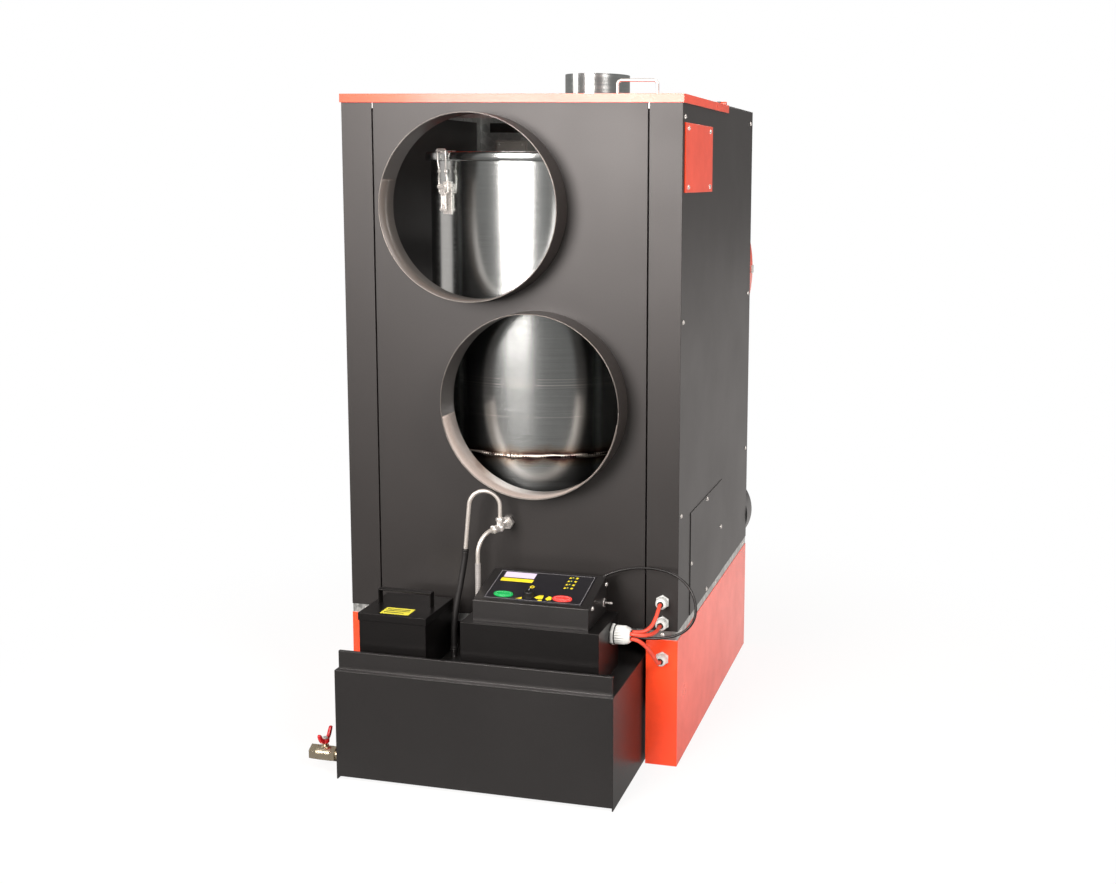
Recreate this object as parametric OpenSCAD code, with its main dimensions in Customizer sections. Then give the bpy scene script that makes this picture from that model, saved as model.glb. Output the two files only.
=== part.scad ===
// Oil stove: a warm-air heater that burns oil in a pan inside a steel drum.
// Millimetres. +X to the right, +Y to the rear, +Z up.
// The origin is on the floor, at the middle of the base's footprint.

/* [Casing] */
// Width of the casing
casing_w = 680; // [640:5:760]
// Depth of the casing
casing_d = 700; // [690:5:780]
// Height of the casing walls above the deck
casing_h = 1016; // [1000:5:1080]
// Height of the red base
base_h = 254; // [245:1:280]
// Height of the deck that shows between base and casing
deck_h = 18; // [14:1:24]
// Thickness of the casing sheet
sheet = 2; // [1.5:0.1:2.5]
// Width of the folded column at each front corner
column_w = 63; // [50:1:70]
// Groove between a column and the front panel
groove = 3; // [2:0.5:5]
// Depth of the red cover, from the front
cover_d = 408; // [395:1:415]
// Height of the cover's lip
cover_lip_h = 16; // [12:1:22]

/* [Warm air] */
// Outer diameter of an air outlet
outlet_d = 355; // [300:5:360]
// Length of an outlet collar
outlet_len = 58; // [40:1:80]
// Sideways offset of each outlet from the middle
outlet_offset = 60; // [50:1:80]
// Upper outlet's centre below the top of the walls
outlet_drop = 211; // [205:1:230]
// Distance from the upper outlet's centre down to the lower one's
outlet_pitch = 372; // [365:1:390]
// Outer diameter of the fan ring
fan_ring_d = 670; // [640:5:676]
// Depth of the fan ring behind the casing
fan_ring_depth = 60; // [56:1:80]
// Fan centre below the top of the walls
fan_drop = 368; // [360:1:380]
// Diameter of the fan's bore
fan_bore_d = 510; // [480:5:530]

/* [Combustion] */
// Gap between the front panel and the drum
drum_gap = 32; // [20:1:40]
// Top of the drum's lid below the top of the walls
lid_drop = 105; // [95:1:120]
// Height of the air box under the drum
air_box_h = 78; // [70:1:90]
// Outer diameter of the flue
flue_d = 150; // [130:1:152]
// Gap between the flue and the back of the casing
flue_back = 11; // [10:1:20]
// Height of the flue stub above the casing
flue_rise = 80; // [60:1:120]
// Outer diameter of the burner pot
pot_d = 240; // [200:5:260]
// Height of the perforated flame tube above the drum's floor
flame_tube_h = 240; // [200:5:300]

/* [Tank and boxes] */
// Height of the tank body
tank_h = 208; // [195:1:212]
// Depth of the tank, front to back
tank_d = 455; // [430:5:500]
// How far the tank stands out in front of the casing
tank_front = 205; // [200:1:215]
// Height of the tray lip on the tank
lip_h = 35; // [25:1:45]
// Share of the tank's width that the filler box takes
filler_share = 0.25368; // [0.24:0.005:0.26]
// Share of the tank's width that the pump box takes
pump_box_share = 0.49265; // [0.48:0.005:0.505]
// Depth of both boxes
box_d = 126; // [122:1:130]
// Height of both boxes
box_h = 103; // [98:1:110]
// Height of the control box at its front
control_front_h = 40; // [38:1:46]
// Height of the control box at its rear
control_rear_h = 68; // [62:1:74]

/* [Hidden] */
$fn = 96;
// Sides of a large curve that a thin plate follows
fine = 720;

// Named clearances: overrun of a cut, gap between loose sheets, gap of a running pin
over = 1;
gap = 0.3;
run = 0.06;

// Levels and faces of the casing
hw = casing_w / 2;
hd = casing_d / 2;
deck_top = base_h + deck_h;
wall_top = deck_top + casing_h;
case_top = wall_top + sheet;
front = -hd;
rear = hd;

// Sheet folds, posts and rails
flange = 15;
plinth_flange = 20;
plinth_return = 40;
deck_inset = 1;
post_w = 25;
flange_top = wall_top - post_w - gap;
panel_half = hw - column_w - groove;

// Tank footprint
tank_clear = 5;
tank_half = hw - column_w - tank_clear;
tank_y0 = front - tank_front;
tank_y1 = tank_y0 + tank_d;
skid_h = 6;
tank_top = skid_h + tank_h;

// Cover, its hinge and its handle
cover_side = 2.6;
cover_y1 = front + cover_d;
hinge_setback = 4.5;
hinge_y = cover_y1 + hinge_setback;
knuckle_r = 4;
hinge_z = case_top + gap + knuckle_r + gap;
hinge_pin_r = 2;
knuckle_w = 12;
knuckle_edge = 4;
ear_w = 8;
ear_d = 11;
hinge_leaf_d = 12;
handle_pitch = 78;
handle_x_share = 0.69;
handle_setback = 70;
handle_h = 32;
handle_rod_r = 3;
handle_bend_r = 8;
foot_size = [26, 14, 1.5];
foot_shift = 8;

// Round head of a casing screw
screw_head_r = 4.5;
screw_head_h = 3;

// Air outlets
outlet_r = outlet_d / 2;
upper_z = wall_top - outlet_drop;
lower_z = upper_z - outlet_pitch;

// Side hatch and badge plate
hatch_size = [300, 209];
hatch_front = 97;
hatch_lift = 1;
hatch_overlap = 15;
hatch_t = 1.5;
badge_size = [235, 129];
badge_front = 17;
badge_drop = 49;
badge_t = 2;
badge_screw_inset = [24, 10];

// Flue, and the drum that fills the depth in front of it
flue_r = flue_d / 2;
flue_wall = 2;
flue_gap = 13;
flue_y = rear - flue_back - flue_r;
drum_x = -12;
drum_r = (flue_y - flue_r - flue_gap - front - sheet - drum_gap) / 2;
drum_y = front + sheet + drum_gap + drum_r;
drum_wall = 3;
drum_floor = 4;
drum_bottom = deck_top + air_box_h;
lid_top = wall_top - lid_drop;
lid_sheet = 3;
gasket_h = 4;
gasket_w = 6;
drum_top = lid_top - lid_sheet - gasket_h;
rim_w = 8;
rim_h = 18;
weld_rise = 240;
weld_r = 3;

// Neck between the drum and the flue
neck_drop = 133;
neck_share = 0.9;
neck_r = neck_share * flue_r;
riser_below = 110;

// Burner
pot_r = pot_d / 2;
pot_h = 55;
pot_floor = 8;
pot_wall = 7;
flame_r = 38;
flame_wall = 2;
flame_flange_r = 41;
flame_flange_h = 2;
pot_core_gap = 2;
pot_core_wall = 5;
flame_hole_r = 4;
flame_hole_rows = 3;
flame_holes = 8;
flame_hole_pitch = 50;

// Blower, its duct and the air box
blower_r = 93;
blower_depth = 60;
blower_edge = 90;
blower_x = hw - blower_edge;
blower_z = deck_top + 52;
blower_inlet_r = 40;
blower_wheel_r = 76;
blower_wheel_w = 40;
blower_wheel_gap = 8;
blower_disc_t = 2;
blower_hub_r = 12;
blower_vanes = 16;
blower_vane_share = 0.66;
blower_motor_r = 35;
blower_motor_len = 76;
shaft_r = 4;
air_box_r = 150;
channel_side = [110, 174];
channel_x = [drum_x + channel_side[0], drum_x + channel_side[1]];
channel_low = 10;
channel_h = 62;

// Fan
fan_z = wall_top - fan_drop;
fan_r = fan_bore_d / 2;
fan_wall = 2;
fan_plate_half_w = hw - 13;
fan_plate_half_h = 320;
fan_hole_gap = 5;
fan_duct_len = 56;
fan_back_y = rear - sheet - gap - sheet;
fan_blades = 6;
fan_tip_gap = 8;
fan_hub_r = 60;
fan_hub_w = 28;
fan_hub_y = fan_back_y + 6;
fan_blade_chord = 84;
fan_blade_t = 3;
fan_blade_pitch = 30;
fan_motor_r = 48;
fan_motor_len = 30;
fan_shaft_r = 8;
guard_bar = [5, 3];
guard_rings = 5;
guard_spokes = 4;
guard_lug = [18, 26, 14];
terminal_size = [80, 50, 92];
terminal_corner = [-277, 300];

// Toggle latch, in a frame on the drum's surface: x along it, o outward, z up
latch_turns = [-36, 144];
latch_pivot_o = 11;
latch_pivot_drop = 69;
latch_pin_r = 2;
latch_pin_end = 0.8;
latch_arm = 13;
latch_lean = 8;
latch_cheek = 8;
latch_side_gap = 0.5;
latch_ear_t = 4;
latch_ear_r = 5.5;
latch_knuckle_r = 4.5;
latch_boss_r = 3.6;
latch_tail = 45;
latch_tail_t = 2.4;
latch_curl_r = 3;
latch_plate = [30, 64];
latch_plate_t = 2;
latch_plate_rise = 10;
bail_wire_r = 1.6;
bail_half_w = 16;
bail_hook_o = 14;
keeper_half_w = 12;
keeper_reach = 19;
keeper_inward = 12;
keeper_t = 2;
keeper_leg = 14;

// Tray, strainer and filler box
lip_setback = 10;
lip_side = 4;
lip_hem = 6;
box_setback = 35;
filler_edge = 32;
pump_edge = 38;
box_sheet = 1.5;
filler_skirt_h = 14;
strap_edge = 15;
strap_h = 30;
strap_t = 2;
strap_depth = 16;
strainer_r = 36;
strainer_depth = 86;
strainer_wall = 1;
strainer_flange = 8;
strainer_slots = 8;
strainer_slot = [6, 40];

// Control box and what is on its sloping top
control_inset = 20;
control_edge = 24;
control_setback = 13;
panel_d = 101;
panel_corner = [16, 10];
panel_edge = 17;
panel_t = 0.8;
button_size = [38, 18];
button_h = 2.6;
button_edge = 1;
button_stem = 8;
button_row = 26;
button_shares = [0.2277, 0.7411];
button_gap = 0.4;
knob_share = 0.45536;
knob_r = 10;
knob_h = 12;
knob_shaft_r = 3;
knob_shaft_len = 14;
knob_pointer = [3, 9, 1.2];
lamp_share = 0.73214;
lamp_rows = [64, 76, 88, 100];
lamp_r = 2.5;
board_depth = 22;
board_edge = 24;
board_d = 92;
board_t = 1.6;
board_post_r = 3;
switch_w = 22;
switch_top = 9;
toggle_y_share = 0.86;
toggle_rise = 22;
toggle_bush_r = 6;
toggle_bush_h = 4;
toggle_bore_r = 3.8;
toggle_barrel = [2.8, 2.4];
toggle_outline = [[0, -6], [1.8, -6], [1.5, 3], [2.4, 14], [1.6, 17], [0, 17]];

// Pump set
pump_axis_rise = 48;
pump_motor_r = 32;
pump_motor_len = 90;
pump_motor_edge = 18;
pump_shaft_gap = 30;
pump_cube = 50;
pump_foot_w = 30;
pump_shaft_r = 5;
coupling_r = 12;
coupling_len = 22;
suction_r = 6;
suction_depth = 150;

// Fuel line
inlet_x = -3;
inlet_rise = 193;
inlet_reach = 44;
inlet_stem_r = 5;
inlet_nut = [12.7, 9];
inlet_ball_r = 8.5;
inlet_cap = [7.5, 10];
pipe_r = 4;
loop_rise = 42;
loop_r = 30;
loop_lean = 5;
loop_leg = 92;
loop_turn = 10;
feed_run = 18;
drip_r = 85;
drip_drop = 45;
drip_hole_gap = 2;
hose_tail_r = 6.5;
hose_tail_h = 23;
return_tail_h = 12;
return_r = 6;
feed_hose_r = 5;

// Drain valve, along X on the tank's left wall
valve_y = tank_y0 + 28;
valve_z = 35;
valve_bore_r = 7.5;
valve_nipple = [10.4, 14];
valve_hex_r = 15.4;
valve_hex_len = 10;
valve_barrel = [14, 28];
valve_end_len = 14;
valve_thread_r = 9.3;
valve_thread_len = 12;
valve_ball_r = 10.9;
valve_stem_r = 4;
valve_stem_len = 21;
valve_neck = [7, 16];
valve_hub = [8, 7];
valve_wing = [4, 17, 24];
valve_wing_reach = 25;
valve_x = -tank_half - valve_nipple[1] - valve_hex_len - valve_barrel[1] / 2;

// Cable glands
gland_big = [20.8, 7, 17.5, 21, 12, 9];
gland_small = [13.9, 5, 11.5, 10, 7.5, 5];
big_gland_back = 42;
big_gland_drop = 28;
small_gland_edge = 30;
small_gland_rises = [58, 16];
plinth_gland_drop = 37;
gland_round_share = 0.7;
mains_gland_inset = 50;
mains_gland_rise = 58;
mains_bore_r = 5;
mains_at = [mains_gland_inset - hw, rear, deck_top + mains_gland_rise];

// Cords
silicone_r = 3.75;
signal_r = 2.5;
cord_sides = 8;

// Colours
black = "#2b2a2a";
red = "#e8472c";
steel = "#c8c6c2";
zinc = "#b9bbb8";
brass = "#c9b98a";
white = "#efeee8";
iron = "#4a4846";
rubber = "#1c1c1c";

// A block between two values on each axis
module span(x, y, z) {
    translate([x[0], y[0], z[0]])
        cube([x[1] - x[0], y[1] - y[0], z[1] - z[0]]);
}

// Round bars between two values along one axis
module bar_x(r, x, sides = $fn) {
    translate([x[0], 0, 0])
        rotate([0, 90, 0])
            cylinder(r = r, h = x[1] - x[0], $fn = sides);
}

module bar_y(r, y, sides = $fn) {
    translate([0, y[1], 0])
        rotate([90, 0, 0])
            cylinder(r = r, h = y[1] - y[0], $fn = sides);
}

module bar_z(r, z, sides = $fn) {
    translate([0, 0, z[0]])
        cylinder(r = r, h = z[1] - z[0], $fn = sides);
}

function pair(v) = [-v, v];
function about(c, w) = [c - w / 2, c + w / 2];

// A cord: rings of points square to the route, joined into one closed skin
function unit(v) = v / norm(v);
function heading(p, i) = unit(p[min(i + 1, len(p) - 1)] - p[max(i - 1, 0)]);
function ring_side(p, i) = unit(cross(heading(p, i), [0.3, 0.2, 1]));
module cord(route, r) {
    n = cord_sides;
    rings = len(route);
    points = [
        for (i = [0:rings - 1], k = [0:n - 1])
            let (u = ring_side(route, i), v = cross(heading(route, i), u), a = 360 * k / n)
                route[i] + r * (cos(a) * u + sin(a) * v)
    ];
    skin = [
        for (i = [0:rings - 2], k = [0:n - 1], half = [0, 1])
            let (a = i * n + k, b = i * n + (k + 1) % n)
                half == 0 ? [a, a + n, b] : [b, a + n, b + n]
    ];
    start = [for (k = [1:n - 2]) [0, k, k + 1]];
    last = (rings - 1) * n;
    finish = [for (k = [1:n - 2]) [last, last + k + 1, last + k]];
    polyhedron(points = points, faces = concat(skin, start, finish));
}

// Base and casing
module plinth() {
    inner = hw - column_w;
    color(red) {
        for (m = [0, 1]) mirror([m, 0, 0]) {
            span([hw - sheet, hw], [front, rear], [0, base_h]);
            span([inner, hw], [front, front + sheet], [0, base_h]);
            span([inner, inner + sheet], [front, front + plinth_return], [0, base_h]);
            span([hw - plinth_flange, hw], [front, rear], [0, sheet]);
            span([hw - plinth_flange, hw], [front, rear], [base_h - sheet, base_h]);
            span([inner, hw], [front, front + plinth_return], [base_h - sheet, base_h]);
            span([inner, hw], [front, front + plinth_return], [0, sheet]);
        }
        span(pair(hw), [rear - sheet, rear], [0, base_h]);
        span(pair(hw), [rear - plinth_flange, rear], [base_h - sheet, base_h]);
        span(pair(hw), [tank_y1 + plinth_flange, rear], [0, sheet]);
    }
}

module angle_post(z) {
    x1 = hw - sheet - gap;
    y1 = hd - sheet - gap;
    span([x1 - post_w, x1], [y1 - sheet, y1], z);
    span([x1 - sheet, x1], [y1 - post_w, y1], z);
}

module deck_frame() {
    x1 = hw - deck_inset;
    y1 = hd - deck_inset;
    rail_x = hw - sheet - gap;
    rail_y = hd - sheet - gap;
    top = [wall_top - post_w, wall_top];
    color(zinc) {
        span(pair(x1), pair(y1), [deck_top - sheet, deck_top]);
        for (m = [0, 1]) mirror([m, 0, 0])
            span([x1 - sheet, x1], pair(y1), [base_h, deck_top]);
        for (m = [0, 1]) mirror([0, m, 0])
            span(pair(x1), [y1 - sheet, y1], [base_h, deck_top]);
        for (m = [0, 1], n = [0, 1]) mirror([m, 0, 0]) mirror([0, n, 0])
            angle_post([deck_top - sheet, wall_top]);
        for (m = [0, 1]) mirror([m, 0, 0]) {
            span([rail_x - sheet, rail_x], pair(rail_y), top);
            span([rail_x - post_w, rail_x], pair(rail_y), [wall_top - sheet, wall_top]);
        }
        difference() {
            for (m = [0, 1]) mirror([0, m, 0]) {
                span(pair(rail_x), [rail_y - sheet, rail_y], top);
                span(pair(rail_x), [rail_y - post_w, rail_y], [wall_top - sheet, wall_top]);
            }
            translate([drum_x, flue_y, 0]) bar_z(flue_r + gap, [top[0] - over, wall_top + over]);
        }
        span(pair(rail_x), about(cover_y1 + post_w / 2, post_w), [wall_top - sheet, wall_top]);
        span(pair(rail_x), about(cover_y1 + post_w / 2, sheet), top);
    }
}

// Height of the front panel's and the columns' bottom flange between the corner posts
flange_y = hd - sheet - gap - post_w - gap;

module side_panel() {
    inner = hw - column_w;
    span([hw - sheet, hw], [front, rear - sheet], [deck_top, wall_top]);
    span([inner, hw], [front, front + sheet], [deck_top, wall_top]);
    span([inner, inner + sheet], [front, front + flange], [deck_top, flange_top]);
    span([hw - flange, hw], pair(flange_y), [deck_top, deck_top + sheet]);
}

module left_side_panel() {
    color(black) mirror([1, 0, 0]) side_panel();
}

hatch_y = [front + hatch_front, front + hatch_front + hatch_size[0]];
hatch_z = [deck_top + hatch_lift, deck_top + hatch_lift + hatch_size[1]];

module right_side_panel() {
    color(black) difference() {
        side_panel();
        span([hw - sheet - over, hw + over],
             [hatch_y[0] + hatch_overlap, hatch_y[1] - hatch_overlap],
             [hatch_z[0] + hatch_overlap, hatch_z[1] - hatch_overlap]);
    }
}

module side_hatch() {
    color(black) span([hw, hw + hatch_t], hatch_y, hatch_z);
}

badge_y = [front + badge_front, front + badge_front + badge_size[0]];
badge_z = [wall_top - badge_drop - badge_size[1], wall_top - badge_drop];

module badge_plate() {
    color(red) span([hw, hw + badge_t], badge_y, badge_z);
}

inlet_z = deck_top + inlet_rise;

module front_panel() {
    color(black) difference() {
        union() {
            span(pair(panel_half), [front, front + sheet], [deck_top, wall_top]);
            for (m = [0, 1]) mirror([m, 0, 0])
                span([panel_half - sheet, panel_half], [front, front + flange], [deck_top, flange_top]);
            span(pair(panel_half), [front, front + flange], [deck_top, deck_top + sheet]);
        }
        for (s = [[-outlet_offset, upper_z], [outlet_offset, lower_z]])
            translate([s[0], 0, s[1]])
                bar_y(outlet_r - sheet, [front - over, front + sheet + over]);
        translate([inlet_x, 0, inlet_z])
            bar_y(inlet_stem_r + run, [front - over, front + sheet + over]);
    }
}

blower_hole_x = [channel_x[0] + sheet, channel_x[1] - sheet];
blower_hole_z = [deck_top + channel_low + sheet, deck_top + channel_low + channel_h - sheet];

module rear_panel() {
    color(black) difference() {
        span(pair(hw), [rear - sheet, rear], [deck_top, wall_top]);
        translate([0, 0, fan_z])
            bar_y(fan_r + fan_wall + fan_hole_gap, [rear - sheet - over, rear + over]);
        span(blower_hole_x, [rear - sheet - over, rear + over], blower_hole_z);
        translate([blower_x, 0, blower_z])
            bar_y(blower_hub_r, [rear - sheet - over, rear + over]);
        translate(mains_at) bar_y(mains_bore_r + over, [-sheet - over, over]);
    }
}

hinge_x = hw - knuckle_edge - knuckle_w;

module rear_top_plate() {
    color(black) {
        difference() {
            span(pair(hw), [cover_y1 + gap, rear], [wall_top, case_top]);
            translate([drum_x, flue_y, 0])
                bar_z(flue_r - flue_wall, [wall_top - over, case_top + over]);
        }
        for (m = [0, 1]) mirror([m, 0, 0]) {
            span([hinge_x - gap - ear_w, hinge_x - gap],
                 [cover_y1 + gap, cover_y1 + gap + ear_d], [case_top, hinge_z + knuckle_r]);
            translate([0, hinge_y, hinge_z])
                bar_x(hinge_pin_r, [hinge_x - gap - ear_w, hinge_x + knuckle_w]);
        }
    }
}

module top_cover() {
    side = hw + cover_side;
    low = case_top - cover_lip_h;
    cover_z = [wall_top + gap, case_top + gap];
    color(red) {
        span(pair(side), [front - cover_side, cover_y1], cover_z);
        span(pair(side), [front - cover_side, front - cover_side + sheet], [low, cover_z[1]]);
        for (m = [0, 1]) mirror([m, 0, 0]) {
            span([side - sheet, side], [front - cover_side, cover_y1], [low, cover_z[1]]);
            difference() {
                union() {
                    span([hinge_x, hinge_x + knuckle_w], [cover_y1 - hinge_leaf_d, hinge_y],
                         [cover_z[1], cover_z[1] + sheet]);
                    translate([0, hinge_y, hinge_z])
                        bar_x(knuckle_r, [hinge_x, hinge_x + knuckle_w]);
                }
                translate([0, hinge_y, hinge_z])
                    bar_x(hinge_pin_r + run, [hinge_x - over, hinge_x + knuckle_w + over]);
            }
        }
    }
}

handle_x = handle_x_share * hw;
handle_y = front + handle_setback;

// A bow of round rod: two legs, two quarter bends and a bar, centred over zero
module rod_bow(pitch, h, r, bend) {
    for (m = [0, 1]) mirror([m, 0, 0]) {
        translate([pitch / 2, 0, 0]) bar_z(r, [0, h - bend]);
        translate([pitch / 2 - bend, 0, h - bend])
            rotate([90, 0, 0])
                rotate_extrude(angle = 90)
                    translate([bend, 0]) circle(r = r, $fn = 32);
    }
    translate([0, 0, h]) bar_x(r, pair(pitch / 2 - bend));
}

module cover_handle() {
    z = case_top + gap;
    color(steel) translate([handle_x, handle_y, z]) {
        rod_bow(handle_pitch, handle_h - handle_rod_r, handle_rod_r, handle_bend_r);
        for (s = [-1, 1]) {
            span(about(s * (handle_pitch / 2 + foot_shift), foot_size[0]),
                 pair(foot_size[1] / 2), [0, foot_size[2]]);
            translate([s * (handle_pitch / 2 + foot_shift + handle_rod_r), 0, foot_size[2]])
                round_head();
        }
    }
}

// A round screw head that stands on zero and points up
module round_head() {
    rotate_extrude($fn = 32) intersection() {
        square([screw_head_r, screw_head_h]);
        scale_r = (screw_head_r * screw_head_r + screw_head_h * screw_head_h) / (2 * screw_head_h);
        translate([0, screw_head_h - scale_r]) circle(r = scale_r, $fn = 96);
    }
}

// Places of the screws, as shares of the face that they hold
side_screw_shares = [
    [0.027, 0.962], [0.027, 0.587], [0.027, 0.22],
    [0.966, 0.975], [0.966, 0.587], [0.966, 0.22]
];
deck_screw_share = 0.91;
deck_rear_share = 0.97;
rear_screw_shares = [0.18, 0.5, 0.97];

module head_on(at, turn) {
    translate(at) rotate(turn) round_head();
}

module casing_screws() {
    to_right = [0, 90, 0];
    to_left = [0, -90, 0];
    to_front = [90, 0, 0];
    to_rear = [-90, 0, 0];
    deck_z = base_h + deck_h / 2;
    color(steel) {
        for (s = side_screw_shares) {
            head_on([hw, front + s[0] * casing_d, deck_top + s[1] * casing_h], to_right);
            head_on([-hw, front + s[0] * casing_d, deck_top + s[1] * casing_h], to_left);
        }
        for (s = [-deck_screw_share, deck_screw_share]) {
            head_on([s * hw, front + deck_inset, deck_z], to_front);
            head_on([hw - deck_inset, s * hd, deck_z], to_right);
            head_on([-hw + deck_inset, s * hd, deck_z], to_left);
        }
        for (s = [-deck_rear_share, deck_rear_share])
            head_on([s * hw, rear - deck_inset, deck_z], to_rear);
        head_on([hw - deck_inset, 0, deck_z], to_right);
        head_on([-hw + deck_inset, 0, deck_z], to_left);
        for (s = rear_screw_shares, m = [-1, 1])
            head_on([m * (hw - post_w / 2), rear, deck_top + s * casing_h], to_rear);
        for (m = [-1, 1])
            head_on([m * (hw - post_w), rear - post_w, case_top], [0, 0, 0]);
        for (a = [0:3])
            head_on([hw + hatch_t,
                     (hatch_y[0] + hatch_y[1]) / 2 + cos(90 * a) * (hatch_size[0] / 2 - hatch_overlap / 2),
                     (hatch_z[0] + hatch_z[1]) / 2 + sin(90 * a) * (hatch_size[1] / 2 - hatch_overlap / 2)],
                    to_right);
        for (y = [badge_y[0] + badge_screw_inset[0], badge_y[1] - badge_screw_inset[0]],
             z = [badge_z[0] + badge_screw_inset[1], badge_z[1] - badge_screw_inset[1]])
            head_on([hw + badge_t, y, z], to_right);
    }
}

// Air outlets
module outlet_collar(x, z) {
    color(black) translate([x, 0, z]) difference() {
        bar_y(outlet_r, [front - outlet_len, front], 128);
        bar_y(outlet_r - sheet, [front - outlet_len - over, front + over], 128);
    }
}

module upper_outlet_collar() { outlet_collar(-outlet_offset, upper_z); }
module lower_outlet_collar() { outlet_collar(outlet_offset, lower_z); }

// Combustion chamber
neck_z = lid_top - neck_drop;

module chamber_drum() {
    color(steel) difference() {
        translate([drum_x, drum_y, 0]) {
            difference() {
                bar_z(drum_r, [drum_bottom, drum_top], 128);
                bar_z(drum_r - drum_wall, [drum_bottom + drum_floor, drum_top + over], 128);
                bar_z(flame_r + gap, [drum_bottom - over, drum_bottom + drum_floor + over]);
            }
            rotate_extrude($fn = 128)
                translate([drum_r, drum_bottom + weld_rise])
                    intersection() {
                        circle(r = weld_r, $fn = 24);
                        translate([-drum_wall / 2, -weld_r]) square([2 * weld_r, 2 * weld_r]);
                    }
        }
        translate([drum_x, 0, neck_z])
            bar_y(neck_r, [drum_y, drum_y + drum_r + over]);
        translate([inlet_x, 0, inlet_z])
            bar_y(pipe_r + drip_hole_gap, [drum_y - drum_r - over, drum_y]);
    }
}

module chamber_lid() {
    color(steel) translate([drum_x, drum_y, 0]) {
        bar_z(drum_r + rim_w, [lid_top - lid_sheet, lid_top], 128);
        difference() {
            bar_z(drum_r + rim_w, [lid_top - rim_h, lid_top - lid_sheet / 2], 128);
            bar_z(drum_r + rim_w - lid_sheet, [lid_top - rim_h - over, lid_top], 128);
        }
    }
}

module lid_gasket() {
    color(white) translate([drum_x, drum_y, 0]) difference() {
        bar_z(drum_r, [drum_top, drum_top + gasket_h], 128);
        bar_z(drum_r - gasket_w, [drum_top - over, drum_top + gasket_h + over], 128);
    }
}

// Toggle latches: the frame's -Y points outward, its Z is the part's
latch_pivot_z = lid_top - latch_pivot_drop;
bail_low = [latch_pivot_o - latch_arm * sin(latch_lean), latch_pivot_z - latch_arm * cos(latch_lean)];
bail_high = [bail_hook_o, lid_top + keeper_t + bail_wire_r + 2 * gap];

module on_drum(turn) {
    translate([drum_x, drum_y, 0]) rotate([0, 0, turn]) translate([0, -drum_r, 0]) children();
}

module latch_bracket() {
    ear_in = latch_cheek + latch_side_gap;
    plate_z = [latch_pivot_z + latch_plate_rise - latch_plate[1], latch_pivot_z + latch_plate_rise];
    difference() {
        span(pair(latch_plate[0] / 2), [-latch_plate_t, drum_wall], plate_z);
        translate([0, drum_r, 0]) bar_z(drum_r + run, [plate_z[0] - over, plate_z[1] + over], fine);
    }
    for (m = [0, 1]) mirror([m, 0, 0]) {
        span([ear_in, ear_in + latch_ear_t], [-latch_pivot_o, -latch_plate_t / 2],
             about(latch_pivot_z, 2 * latch_ear_r));
        translate([0, -latch_pivot_o, latch_pivot_z])
            bar_x(latch_ear_r, [ear_in, ear_in + latch_ear_t], 48);
    }
    translate([0, -latch_pivot_o, latch_pivot_z])
        bar_x(latch_pin_r, pair(ear_in + latch_ear_t + latch_pin_end), 48);
}

module latch_keeper() {
    difference() {
        span(pair(keeper_half_w), [-rim_w - keeper_t, -rim_w + keeper_t],
             [lid_top - keeper_leg, lid_top + keeper_t]);
        translate([0, drum_r, 0]) bar_z(drum_r + rim_w + run, [lid_top - rim_h - over, lid_top], fine);
    }
    span(pair(keeper_half_w), [-keeper_reach, keeper_inward], [lid_top, lid_top + keeper_t]);
}

module latch_brackets() {
    color(steel) for (t = latch_turns) on_drum(t) {
        latch_bracket();
        latch_keeper();
    }
}

module latch_lever() {
    tail_x = bail_low[0] - latch_tail_t / 2;
    tail_z = latch_pivot_z - latch_tail;
    difference() {
        union() {
            translate([0, -latch_pivot_o, latch_pivot_z]) bar_x(latch_knuckle_r, pair(latch_cheek), 48);
            translate([0, -bail_low[0], bail_low[1]]) bar_x(latch_boss_r, pair(latch_cheek), 48);
            span(pair(latch_cheek), [-latch_pivot_o - latch_boss_r / 2, -bail_low[0] + latch_boss_r / 2],
                 [bail_low[1], latch_pivot_z]);
            span(pair(latch_cheek), [-tail_x - latch_tail_t, -tail_x], [tail_z, bail_low[1]]);
            translate([0, -tail_x - latch_curl_r, tail_z]) bar_x(latch_curl_r, pair(latch_cheek), 48);
        }
        translate([0, -latch_pivot_o, latch_pivot_z])
            bar_x(latch_pin_r + run, pair(latch_cheek + over), 48);
        translate([0, -bail_low[0], bail_low[1]]) bar_x(bail_wire_r + run, pair(latch_cheek + over), 48);
    }
}

// The wire loop: two side wires and two cross wires, with a ball at each corner
module latch_bail() {
    lean = atan2(bail_high[0] - bail_low[0], bail_high[1] - bail_low[1]);
    long = norm(bail_high - bail_low);
    translate([0, -bail_low[0], bail_low[1]]) rotate([lean, 0, 0]) {
        for (s = [-1, 1]) translate([s * bail_half_w, 0, 0]) bar_z(bail_wire_r, [0, long], 32);
        for (z = [0, long]) translate([0, 0, z]) {
            bar_x(bail_wire_r, pair(bail_half_w), 32);
            for (s = [-1, 1]) translate([s * bail_half_w, 0, 0]) sphere(r = bail_wire_r, $fn = 32);
        }
    }
}

module front_latch_lever() { color(steel) on_drum(latch_turns[0]) latch_lever(); }
module front_latch_bail() { color(steel) on_drum(latch_turns[0]) latch_bail(); }
module rear_latch_lever() { color(steel) on_drum(latch_turns[1]) latch_lever(); }
module rear_latch_bail() { color(steel) on_drum(latch_turns[1]) latch_bail(); }

// Flue
module flue_riser() {
    low = neck_z - riser_below;
    neck_y = [drum_y + drum_r - 4 * drum_wall, flue_y];
    color(steel) difference() {
        union() {
            translate([drum_x, flue_y, 0]) bar_z(flue_r, [low, wall_top]);
            translate([drum_x, 0, neck_z]) bar_y(neck_r, neck_y);
        }
        translate([drum_x, flue_y, 0]) bar_z(flue_r - flue_wall, [low + flue_wall, wall_top + over]);
        translate([drum_x, 0, neck_z]) bar_y(neck_r - flue_wall, [neck_y[0] - over, flue_y]);
    }
}

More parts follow.
